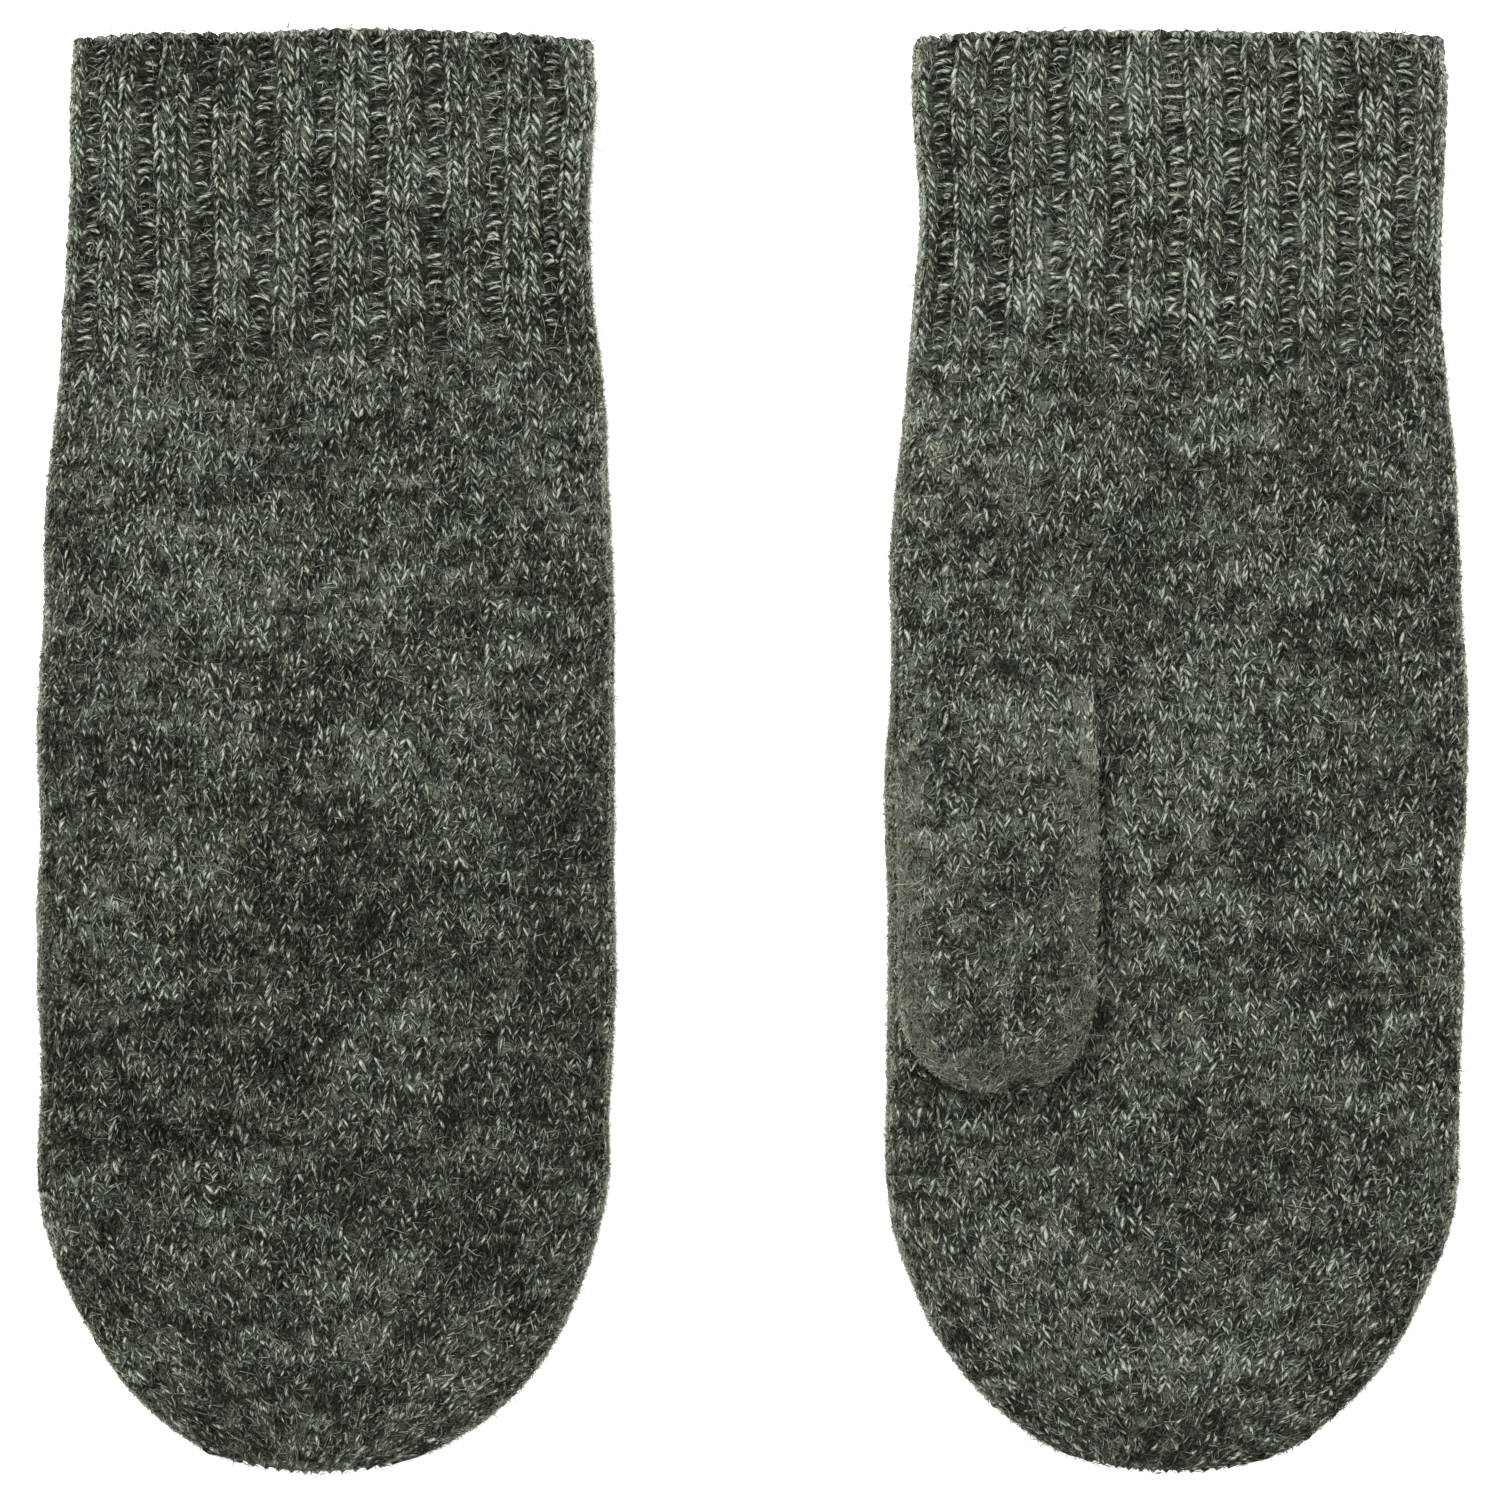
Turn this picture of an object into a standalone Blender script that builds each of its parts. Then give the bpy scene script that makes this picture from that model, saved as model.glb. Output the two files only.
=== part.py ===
"""A pair of knitted mittens lying flat, side by side, cuffs towards +Y and fingertips towards -Y.

The right mitten lies palm up with its thumb on top of the palm. The left mitten lies palm down with its
thumb under the palm. Units are metres and +Z is up. The pair rests on Z = 0 with its middle at X = 0, Y = 0.
Each mitten is a flattened tube of knitted fabric: a ribbed cuff, a plain hand, a narrowed fingertip and a
thumb.
"""

import math

import bmesh
import bpy
from mathutils import Matrix

MM = 0.001

# Plan of one mitten
LENGTH = 270 * MM
AXIS_X = 79.1 * MM  # distance of each mitten's middle line from the middle of the pair
WRIST_Y = 70 * MM  # where the ribbed cuff meets the hand
NARROWING_Y = -77 * MM  # where the fingertip starts to narrow
WIDEST_Y = -35 * MM
EDGE_LENGTH = 2.5 * MM  # of the cast-on edge
LEAN = 0.0065  # sideways drift of the middle line for each unit of length
# Half of the width along the mitten, from the mouth of the cuff to the start of the narrowing
HALF_WIDTHS = (
    (135 * MM, 49.6 * MM),
    (125 * MM, 50.3 * MM),
    (99 * MM, 49.2 * MM),
    (WRIST_Y, 50.7 * MM),
    (43 * MM, 53.0 * MM),
    (WIDEST_Y, 54.1 * MM),
    (NARROWING_Y, 53.5 * MM),
)
TIP_POWERS = (1.7, 2.3)  # shape of the fingertip's outline

# Thickness
WALL = 2.2 * MM  # of one layer of plain fabric
RIB_WALL = 2.6 * MM
HAND_THICK = 11 * MM  # both layers and the hollow between them
PRESSED_THICK = 9 * MM  # of the hand where the thumb lies against it
CUFF_THICK = 10.4 * MM
END_THICK = 4.6 * MM  # at the very tips
EDGE_POWER = 3.5  # how square a flattened section is
FLAT_GAIN = 1.03  # makes the middle of each face truly flat

# Thumb
THUMB_X = -33.5 * MM  # its middle line, from the mitten's
THUMB_HALF = 18.1 * MM
THUMB_ROOT_Y = 5 * MM  # centre of the round root, which the thumb swings about
THUMB_TIP_Y = -45.4 * MM  # centre of the round tip
THUMB_THICK = 9 * MM
THUMB_HOLE = 12.7 * MM  # radius of the hole between the hand and the thumb
SEAM_RADIUS = 11.35 * MM
SEAM_HALF_WIDTH = 1.0 * MM
SEAM_HALF_HEIGHT = 2.35 * MM

# Where the hand gives way to the thumb
DIP_ACROSS = 20 * MM
DIP_BELOW_TIP = 13 * MM
DIP_ABOVE_ROOT = 22 * MM

# Ribs of the cuff
RIBS = 9  # on each face
GROOVE_SHARE = 0.34  # of each repeat
GROOVE_SLOPE = 0.12
GROOVE_DEPTH = 0.9 * MM
RIBBED_SHARE = 0.93  # of the half width, past which the edge of the fold is plain
FOLD_ANGLES = (8, 15, 21.5)  # degrees round the section, of the points between a fold and the first rib

# Closing yarn
CLOSURE_HALF = 4.5 * MM
CLOSURE_DEPTH = 2.4 * MM

GAP = 0.3 * MM  # between pieces that touch

# How finely the surfaces are divided: points round a section, and stations along a tube (outside, inside)
RING_POINTS = 32
THUMB_POINTS = 24
SEAM_POINTS = (20, 8)  # round the seam, and round its yarn
CUFF_STATIONS = (4, 3)
HAND_STATIONS = (10, 6)  # above and below the widest place
TIP_STATIONS = (9, 7)
THUMB_ROOT_STATIONS = (6, 5)
THUMB_TIP_STATIONS = (7, 5)
SHARP_ANGLE = math.radians(40)
SMALLEST_SHARE = 0.2  # of its size that a ring keeps when it is drawn in


def smooth(t):
    """Rises from 0 to 1 as t does, level at both ends."""
    t = min(max(t, 0.0), 1.0)
    return t * t * (3 - 2 * t)


def through(points, y):
    """A smooth curve through (y, value) points that run down in y."""
    k = next((i for i in range(len(points) - 2) if y > points[i + 1][0]), len(points) - 2)
    (y0, v0), (y1, v1) = points[k], points[k + 1]

    def slope(i):
        low, high = max(i - 1, 0), min(i + 1, len(points) - 1)
        return (points[high][1] - points[low][1]) / (points[high][0] - points[low][0])

    t = (y - y0) / (y1 - y0)
    run = y1 - y0
    return (
        v0 * (1 + 2 * t) * (1 - t) ** 2
        + v1 * t * t * (3 - 2 * t)
        + slope(k) * run * t * (1 - t) ** 2
        - slope(k + 1) * run * t * t * (1 - t)
    )


def flattened(s):
    """Height of a flattened section at s: 1 over its flat middle, 0 at its edges."""
    s = min(abs(s), 1.0)
    return min(1.0, FLAT_GAIN * (1 - s**EDGE_POWER) ** (1 / EDGE_POWER))


def half_width(y, inset):
    """Half of the mitten's width at y, for the surface that lies inset inside the outer one."""
    if y >= NARROWING_Y:
        return through(HALF_WIDTHS, y) - inset
    length = LENGTH / 2 + NARROWING_Y - inset
    t = min((NARROWING_Y - y) / length, 1.0)
    a, b = TIP_POWERS
    return (HALF_WIDTHS[-1][1] - inset) * (1 - t**a) ** (1 / b)


def thumb_contact(u, y):
    """1 where the thumb lies against the hand, falling to 0 away from it."""
    across = 1 - smooth((u - THUMB_X - THUMB_HALF) / DIP_ACROSS)
    tip = smooth((y - THUMB_TIP_Y + THUMB_HALF + DIP_BELOW_TIP) / DIP_BELOW_TIP)
    root = 1 - smooth((y - THUMB_ROOT_Y - THUMB_HALF) / DIP_ABOVE_ROOT)
    return across * tip * root


def hand_layer(u, y, palm_up):
    """The height of the hand's lower side and its thickness at a place, before its edges round off."""
    contact = thumb_contact(u, y)
    thick = HAND_THICK + (CUFF_THICK - HAND_THICK) * smooth((y - WRIST_Y) / WRIST_Y + 1)
    thick += (PRESSED_THICK - HAND_THICK) * contact
    if y < NARROWING_Y:
        t = min((NARROWING_Y - y) / (LENGTH / 2 + NARROWING_Y), 1.0)
        thick = END_THICK + (thick - END_THICK) * (1 - t**EDGE_POWER) ** (1 / EDGE_POWER)
    return (0.0 if palm_up else (THUMB_THICK + GAP) * contact), thick


def around(count):
    """(share of the half width, side) round a section: +1 is the upper side and -1 the lower one."""
    steps = [2 * math.pi * i / count for i in range(count)]
    return [(math.cos(a), 1 if math.sin(a) >= 0 else -1) for a in steps]


def ribbed():
    """(share of the half width, side) round the ribbed cuff, with a point at each bend of the ribs."""
    pitch = 2 * RIBBED_SHARE / RIBS
    half = GROOVE_SHARE * pitch / 2
    bends = (-half - GROOVE_SLOPE * pitch, -half, half, half + GROOVE_SLOPE * pitch)
    middles = [RIBBED_SHARE - pitch * (i + 0.5) for i in range(RIBS)]
    edge = [math.cos(math.radians(a)) for a in FOLD_ANGLES]
    upper = edge + [m - b for m in middles for b in bends] + [-s for s in reversed(edge)]
    return [(1.0, 1)] + [(s, 1) for s in upper] + [(-1.0, 1)] + [(s, -1) for s in reversed(upper)]


def groove(s):
    """Depth of the rib's groove at a share of the half width."""
    pitch = 2 * RIBBED_SHARE / RIBS
    if abs(s) > RIBBED_SHARE:
        return 0.0
    from_middle = abs((RIBBED_SHARE - s) % pitch - pitch / 2)
    return GROOVE_DEPTH * (from_middle < GROOVE_SHARE * pitch / 2 + GROOVE_SLOPE * pitch / 2)


def hand_ring(y, inset, palm_up, places, grooves=0.0):
    """The closed outline of the hand or cuff at y, on the surface that lies inset inside the outer one."""
    side_x = AXIS_X if palm_up else -AXIS_X
    half = half_width(y, inset)
    ring = []
    for s, side in places:
        u = half * s
        low, thick = hand_layer(u, y, palm_up)
        height = (thick / 2 - inset) * flattened(s) - grooves * groove(s)
        ring.append((side_x + LEAN * (y - WIDEST_Y) + u, y, low + thick / 2 + side * height))
    return ring


def thumb_ring(y, inset, palm_up):
    """The closed outline of the thumb at y, on the surface that lies inset inside the outer one."""
    past = max(THUMB_TIP_Y - y, y - THUMB_ROOT_Y, 0.0) / (THUMB_HALF - inset)
    half = (THUMB_HALF - inset) * math.sqrt(max(1 - past * past, 0.0))
    thick = END_THICK + (THUMB_THICK - END_THICK) * flattened(past)
    middle = THUMB_THICK / 2 + (PRESSED_THICK + GAP if palm_up else 0.0)
    side_x = AXIS_X if palm_up else -AXIS_X
    return [
        (side_x + THUMB_X + half * s, y, middle + side * (thick / 2 - inset) * flattened(s))
        for s, side in around(THUMB_POINTS)
    ]


def spaced(start, end, count):
    """Evenly spaced stations from start to end."""
    return [start + (end - start) * i / (count - 1) for i in range(count)]


def easing(start, end, count):
    """Stations from start to end that crowd together towards the end, where a surface rounds over."""
    return [start + (end - start) * math.sin(math.pi / 2 * i / (count - 1)) for i in range(count)]


def material(name, colour, roughness):
    """A plain woollen material."""
    made = bpy.data.materials.get(name) or bpy.data.materials.new(name)
    made.use_nodes = True
    surface = made.node_tree.nodes["Principled BSDF"]
    surface.inputs["Base Color"].default_value = (*colour, 1)
    surface.inputs["Roughness"].default_value = roughness
    surface.inputs["Metallic"].default_value = 0.0
    return made


def rib_wool():
    return material("rib_wool", (0.080, 0.092, 0.074), 0.95)


def plain_wool():
    return material("plain_wool", (0.062, 0.071, 0.055), 0.95)


def seam_wool():
    return material("seam_wool", (0.050, 0.058, 0.046), 0.97)


def place(name, bm, surface):
    """Turns a finished bmesh into a named object."""
    bmesh.ops.recalc_face_normals(bm, faces=bm.faces)
    mesh = bpy.data.meshes.new(name)
    bm.to_mesh(mesh)
    bm.free()
    mesh.materials.append(surface)
    mesh.shade_smooth()
    mesh.set_sharp_from_angle(angle=SHARP_ANGLE)
    made = bpy.data.objects.new(name, mesh)
    bpy.context.scene.collection.objects.link(made)
    return made


def bridge(bm, first, second):
    """A band of quads between two rings of vertices."""
    for i in range(len(first)):
        j = (i + 1) % len(first)
        bm.faces.new((first[i], first[j], second[j], second[i]))


def sleeve(name, outer, inner, surface):
    """A tube of fabric, open at both ends: the outer rings one way, then the inner rings back."""
    bm = bmesh.new()
    rings = [[bm.verts.new(p) for p in ring] for ring in outer + inner[::-1]]
    for first, second in zip(rings, rings[1:] + rings[:1]):
        bridge(bm, first, second)
    return place(name, bm, surface)


def cup(name, outer, inner, surface):
    """A tube of fabric, open at its first rings and closed at its last."""
    bm = bmesh.new()
    outside = [[bm.verts.new(p) for p in ring] for ring in outer]
    inside = [[bm.verts.new(p) for p in ring] for ring in inner]
    for rings in (outside, inside):
        for first, second in zip(rings, rings[1:]):
            bridge(bm, first, second)
        bm.faces.new(rings[-1])
    bridge(bm, outside[0], inside[0])
    return place(name, bm, surface)


def plug(name, rings, surface):
    """A solid through a row of rings, closed at both ends."""
    bm = bmesh.new()
    loops = [[bm.verts.new(p) for p in ring] for ring in rings]
    for first, second in zip(loops, loops[1:]):
        bridge(bm, first, second)
    bm.faces.new(loops[0])
    bm.faces.new(loops[-1])
    return place(name, bm, surface)


def cut_round_hole(target, x, y, low, high):
    """Cuts the thumb's hole through one layer of fabric, from low to high."""
    bm = bmesh.new()
    centre = Matrix.Translation((x, y, (low + high) / 2))
    bmesh.ops.create_cone(
        bm,
        cap_ends=True,
        segments=THUMB_POINTS,
        radius1=THUMB_HOLE,
        radius2=THUMB_HOLE,
        depth=high - low,
        matrix=centre,
    )
    cutter = place(target.name + "_hole_cutter", bm, seam_wool())
    cutter.hide_render = True
    cutter.display_type = "WIRE"
    hole = target.modifiers.new("thumb_hole", "BOOLEAN")
    hole.operation = "DIFFERENCE"
    hole.solver = "EXACT"
    hole.object = cutter


def cuff_edge(side, palm_up):
    """The cast-on edge round the mouth, with a rounded lip."""
    places = around(RING_POINTS)
    mouth, start = LENGTH / 2, LENGTH / 2 - EDGE_LENGTH + GAP / 2
    lip = RIB_WALL / 4
    outer = [hand_ring(y, i, palm_up, places) for y, i in ((start, 0.0), (mouth - lip, 0.0), (mouth, lip))]
    inner = [
        hand_ring(y, i, palm_up, places)
        for y, i in ((start, RIB_WALL), (mouth - lip, RIB_WALL), (mouth, RIB_WALL - lip))
    ]
    sleeve(side + "_cuff_edge", outer, inner, rib_wool())


def cuff(side, palm_up):
    """The ribbed cuff, grooved outside and plain inside."""
    places = ribbed()
    top, base = LENGTH / 2 - EDGE_LENGTH - GAP / 2, WRIST_Y + GAP / 2
    outside, inside = CUFF_STATIONS
    outer = [hand_ring(y, 0.0, palm_up, places, 1.0) for y in spaced(top, base, outside)]
    inner = [hand_ring(y, RIB_WALL, palm_up, places) for y in spaced(top, base, inside)]
    sleeve(side + "_cuff", outer, inner, rib_wool())


def hand(side, palm_up):
    """The plain tube over the palm and the back of the hand."""
    places = around(RING_POINTS)
    top, base = WRIST_Y - GAP / 2, NARROWING_Y + GAP / 2
    above = spaced(top, WIDEST_Y, HAND_STATIONS[0])
    below = spaced(WIDEST_Y, base, HAND_STATIONS[1])[1:]
    outer = [hand_ring(y, 0.0, palm_up, places) for y in above + below]
    inner = [hand_ring(y, WALL, palm_up, places) for y in above[::2] + [WIDEST_Y] + below[::2]]
    tube = sleeve(side + "_hand", outer, inner, plain_wool())
    low, thick = hand_layer(THUMB_X, THUMB_ROOT_Y, palm_up)
    middle = low + thick / 2
    outside = middle + (1 if palm_up else -1) * thick
    x = (AXIS_X if palm_up else -AXIS_X) + THUMB_X
    cut_round_hole(tube, x, THUMB_ROOT_Y, min(middle, outside), max(middle, outside))


def tip_station(half, inset):
    """Where the fingertip's outline, inset by so much, is only half wide each side."""
    a, b = TIP_POWERS
    share = half / (HALF_WIDTHS[-1][1] - inset)
    return NARROWING_Y - (LENGTH / 2 + NARROWING_Y - inset) * (1 - share**b) ** (1 / a)


def fingertip(side, palm_up):
    """The narrowed fingertip, open at its very end for the closing yarn."""
    places = around(RING_POINTS)
    start = NARROWING_Y - GAP / 2
    outside = easing(start, tip_station(CLOSURE_HALF, 0.0), TIP_STATIONS[0])
    inside = easing(start, tip_station(CLOSURE_HALF, WALL), TIP_STATIONS[1])
    outer = [hand_ring(y, 0.0, palm_up, places) for y in outside]
    inner = [hand_ring(y, WALL, palm_up, places) for y in inside]
    sleeve(side + "_fingertip", outer, inner, plain_wool())


def shrunk(ring, margin):
    """A ring drawn in towards its own middle by a margin, sideways and in height."""
    middle = [sum(p[k] for p in ring) / len(ring) for k in range(3)]
    reach = [max(abs(p[k] - middle[k]) for p in ring) for k in range(3)]

    def inward(value, k):
        return middle[k] + (value - middle[k]) * max(1 - margin / reach[k], SMALLEST_SHARE)

    return [(inward(p[0], 0), p[1], inward(p[2], 2)) for p in ring]


def lengthened(ring, y):
    """The same ring at another station."""
    return [(p[0], y, p[2]) for p in ring]


def fingertip_closure(side, palm_up):
    """The drawn-up yarn in the fingertip's last stitches."""
    places = around(RING_POINTS)
    mouth = hand_ring(tip_station(CLOSURE_HALF, 0.0), 0.0, palm_up, places)
    throat = hand_ring(tip_station(CLOSURE_HALF, WALL), WALL, palm_up, places)
    rings = [
        lengthened(shrunk(mouth, 3 * GAP), -LENGTH / 2),
        lengthened(shrunk(mouth, GAP), -LENGTH / 2 + GAP),
        lengthened(shrunk(throat, GAP), -LENGTH / 2 + CLOSURE_DEPTH),
    ]
    plug(side + "_fingertip_closure", rings, seam_wool())


def thumb_end(half, inset):
    """How far past its centre the thumb's round end, inset by so much, is only half wide each side."""
    reach = THUMB_HALF - inset
    return math.sqrt(reach * reach - half * half)


def thumb(side, palm_up):
    """The thumb tube: a round closed root over the hole in the palm, open towards its tip."""
    start = THUMB_TIP_Y + GAP / 2
    straight = [start, (start + THUMB_ROOT_Y) / 2]
    outside, inside = THUMB_ROOT_STATIONS
    outer = straight + easing(THUMB_ROOT_Y, THUMB_ROOT_Y + thumb_end(CLOSURE_HALF, 0.0), outside)
    inner = straight + easing(THUMB_ROOT_Y, THUMB_ROOT_Y + thumb_end(CLOSURE_HALF, WALL), inside)
    tube = cup(
        side + "_thumb",
        [thumb_ring(y, 0.0, palm_up) for y in outer],
        [thumb_ring(y, WALL, palm_up) for y in inner],
        plain_wool(),
    )
    middle = THUMB_THICK / 2 + (PRESSED_THICK + GAP if palm_up else 0.0)
    outside = middle - (1 if palm_up else -1) * THUMB_THICK
    x = (AXIS_X if palm_up else -AXIS_X) + THUMB_X
    cut_round_hole(tube, x, THUMB_ROOT_Y, min(middle, outside), max(middle, outside))


def thumb_tip(side, palm_up):
    """The round tip of the thumb, open at its very end for the closing yarn."""
    start = THUMB_TIP_Y - GAP / 2
    outer = easing(start, THUMB_TIP_Y - thumb_end(CLOSURE_HALF, 0.0), THUMB_TIP_STATIONS[0])
    inner = easing(start, THUMB_TIP_Y - thumb_end(CLOSURE_HALF, WALL), THUMB_TIP_STATIONS[1])
    sleeve(
        side + "_thumb_tip",
        [thumb_ring(y, 0.0, palm_up) for y in outer],
        [thumb_ring(y, WALL, palm_up) for y in inner],
        plain_wool(),
    )


def thumb_closure(side, palm_up):
    """The drawn-up yarn in the thumb's last stitches."""
    end = THUMB_TIP_Y - THUMB_HALF
    mouth = thumb_ring(THUMB_TIP_Y - thumb_end(CLOSURE_HALF, 0.0), 0.0, palm_up)
    throat = thumb_ring(THUMB_TIP_Y - thumb_end(CLOSURE_HALF, WALL), WALL, palm_up)
    rings = [
        lengthened(shrunk(mouth, 3 * GAP), end),
        lengthened(shrunk(mouth, GAP), end + 2 * GAP),
        lengthened(shrunk(throat, GAP), end + CLOSURE_DEPTH),
    ]
    plug(side + "_thumb_closure", rings, seam_wool())


def thumb_seam(side, palm_up):
    """The picked-up round of stitches, which lines the hole in the palm and the hole in the thumb."""
    x = (AXIS_X if palm_up else -AXIS_X) + THUMB_X
    z = (PRESSED_THICK if palm_up else THUMB_THICK) + GAP / 2
    bpy.ops.mesh.primitive_torus_add(
        location=(x, THUMB_ROOT_Y, z),
        major_segments=SEAM_POINTS[0],
        minor_segments=SEAM_POINTS[1],
        major_radius=SEAM_RADIUS,
        minor_radius=SEAM_HALF_WIDTH,
    )
    seam = bpy.context.active_object
    seam.name = side + "_thumb_seam"
    seam.data.transform(Matrix.Diagonal((1, 1, SEAM_HALF_HEIGHT / SEAM_HALF_WIDTH, 1)))
    seam.data.materials.append(seam_wool())
    seam.data.shade_smooth()


def mitten(side, palm_up):
    """All nine sections of one mitten."""
    for section in (
        cuff_edge,
        cuff,
        hand,
        fingertip,
        fingertip_closure,
        thumb_seam,
        thumb,
        thumb_tip,
        thumb_closure,
    ):
        section(side, palm_up)


def main():
    for old in list(bpy.data.objects):
        bpy.data.objects.remove(old, do_unlink=True)
    mitten("left", palm_up=False)
    mitten("right", palm_up=True)


main()
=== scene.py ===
"""A pair of knitted mittens lying flat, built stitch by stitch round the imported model.

Each mitten is a fabric: a tube on a fine grid, with columns of stitches round it and rows along it. Yarn, the
felted ground under it and loose fibres are laid on it by column, row and height above it. Lengths are in
metres, and row 0 is at the mouth of the cuff.
"""

import math

import bpy
import numpy as np
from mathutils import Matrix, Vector


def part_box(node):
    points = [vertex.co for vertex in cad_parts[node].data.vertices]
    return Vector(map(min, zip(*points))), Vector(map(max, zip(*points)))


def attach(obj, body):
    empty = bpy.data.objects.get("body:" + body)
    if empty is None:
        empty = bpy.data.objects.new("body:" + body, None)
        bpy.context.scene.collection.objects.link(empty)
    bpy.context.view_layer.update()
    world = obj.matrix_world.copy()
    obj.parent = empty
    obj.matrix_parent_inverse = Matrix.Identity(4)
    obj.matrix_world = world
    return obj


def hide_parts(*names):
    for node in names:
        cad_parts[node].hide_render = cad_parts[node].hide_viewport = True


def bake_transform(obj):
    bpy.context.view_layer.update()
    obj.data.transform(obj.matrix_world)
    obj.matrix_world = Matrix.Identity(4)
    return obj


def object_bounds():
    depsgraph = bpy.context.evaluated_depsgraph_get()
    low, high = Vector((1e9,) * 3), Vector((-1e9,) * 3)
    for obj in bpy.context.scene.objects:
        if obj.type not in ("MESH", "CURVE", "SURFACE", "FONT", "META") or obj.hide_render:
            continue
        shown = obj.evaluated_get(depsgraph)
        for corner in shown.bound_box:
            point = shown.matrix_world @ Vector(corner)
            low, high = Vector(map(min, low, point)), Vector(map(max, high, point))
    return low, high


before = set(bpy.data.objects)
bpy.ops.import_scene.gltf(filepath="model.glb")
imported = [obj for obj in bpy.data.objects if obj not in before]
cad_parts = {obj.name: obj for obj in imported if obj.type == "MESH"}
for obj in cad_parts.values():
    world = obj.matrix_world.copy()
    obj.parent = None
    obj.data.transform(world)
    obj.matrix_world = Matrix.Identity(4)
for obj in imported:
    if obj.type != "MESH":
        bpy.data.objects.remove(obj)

CAD_LOW, CAD_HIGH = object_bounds()
MM = 0.001
rng = np.random.default_rng(7)


# ---- The mitten's form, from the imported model's own dimensions ----

LENGTH = CAD_HIGH.y - CAD_LOW.y
WRIST_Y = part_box("left_hand")[1].y
NARROWING_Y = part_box("left_fingertip")[1].y
TIP_LENGTH = NARROWING_Y + LENGTH / 2
WIDEST_Y = -35 * MM
AXIS_X = 79.1 * MM  # distance of each mitten's middle line from the middle of the pair
LEAN = 0.0065  # sideways drift of the middle line for each unit of length
# y and half of the width there, from the mouth of the cuff to the start of the narrowing
HALF_WIDTHS = (
    (135 * MM, 49.6 * MM),
    (125 * MM, 50.3 * MM),
    (99 * MM, 49.2 * MM),
    (70 * MM, 50.7 * MM),
    (43 * MM, 53.0 * MM),
    (WIDEST_Y, 54.1 * MM),
    (-77 * MM, 53.5 * MM),
)
TIP_POWERS = (1.7, 2.2)  # shape of the fingertip's outline
CLOSING_HALF = 16 * MM  # half of the width over which the fingertip is drawn together
CORNER_DROP = 0.8 * MM  # of the corners of the cuff's mouth
CORNER_START = 0.7  # share of the half width where they start to drop
MOUTH_FADE = 12 * MM
MOUTH_WAVE = 0.3 * MM
NAP_SHARE = 0.987  # of the outline's width that the knitting takes up inside its own fibres
EDGE_WAVE = 0.4 * MM  # how far the folds at the sides wander in and out
MOUTH_INSET = 0.9 * MM  # from the end of the mitten to its first row, for the cast-on loops
WALL = 2.2 * MM
EDGE_WALL = 2.4 * MM
TIP_WALL = 1.2 * MM
HAND_THICK = 11 * MM
PRESSED_THICK = 9 * MM  # of the hand where the thumb lies against it
CUFF_THICK = 10.4 * MM
END_THICK = 4.6 * MM
EDGE_POWER = 3.5  # how square a flattened section is
FLAT_GAIN = 1.03
GAP = 0.3 * MM
SWELLS = ((0.35 * MM, 26 * MM), (0.16 * MM, 8 * MM))  # height and size of the fabric's gentle swells

THUMB_X = -33.5 * MM  # the thumb's middle line, from the mitten's
THUMB_HALF = 18.1 * MM
THUMB_ROOT_Y = 5 * MM
THUMB_TIP_Y = -45.4 * MM
THUMB_THICK = 9 * MM
DIP_ACROSS = 20 * MM
DIP_BELOW_TIP = 13 * MM
DIP_ABOVE_ROOT = 26 * MM
DRAW_IN = 0.028  # share of its width that the fabric draws in where it climbs over the thumb
ROOT_THICK = 2.6 * MM  # of the thumb's root where it grows out of the palm
ROOT_SINK = 0.3 * MM  # where it starts
ROOT_SINK_FADE = 5 * MM
ROOT_END_Y = -1 * MM  # where the root's strip gives way to the thumb
ROOT_ROWS = {True: 20, False: 10}  # from the wrist to where the thumb's root starts, palm up or down
THUMB_CLOSING = math.radians(72)  # from the start of the thumb's tip round to the ends of its last row

COLUMNS = 76  # stitches round the mitten
CUFF_ROWS = 36
HAND_ROWS = 68
TIP_ROWS = 31
HAND_END = CUFF_ROWS + HAND_ROWS
ALL_ROWS = HAND_END + TIP_ROWS
THUMB_COLUMNS = 26
THUMB_TIP_ROWS = 10
FINE = 4  # samples of the surface for each column and each row
WAVES = 12  # in an irregular value
WAVES_REACH = 3.7  # what their sum mostly stays within
TINY = 1e-12

RIB_PERIOD = 4  # columns from one gutter to the next
RIB_PHASE = 3.56  # column of the first gutter
GUTTER_DEPTH = 0.95 * MM


def smooth(t):
    """Rises from 0 to 1 as t does, level at both ends."""
    t = np.clip(t, 0.0, 1.0)
    return t * t * (3 - 2 * t)


def unit(vectors):
    """Vectors scaled to length 1."""
    return vectors / np.maximum(np.linalg.norm(vectors, axis=-1, keepdims=True), TINY)


def distances(line):
    """How far along a line each point lies."""
    return np.concatenate([[0], np.cumsum(np.linalg.norm(np.diff(line, axis=0), axis=1))])


def wander(points, size, seed):
    """A smooth, irregular value between about -1 and 1 at each point, with features of about a size."""
    turn = np.random.default_rng(seed)
    total = 0.0
    for k in range(WAVES):
        way = turn.normal(size=3)
        way *= (0.7 + 0.12 * k) * 2 / (size * np.linalg.norm(way))
        total = total + np.sin(points @ way + turn.uniform(0, 2 * math.pi))
    return total / WAVES_REACH


def axis_x(palm_up):
    """The x of a mitten's middle line."""
    return AXIS_X if palm_up else -AXIS_X


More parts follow.
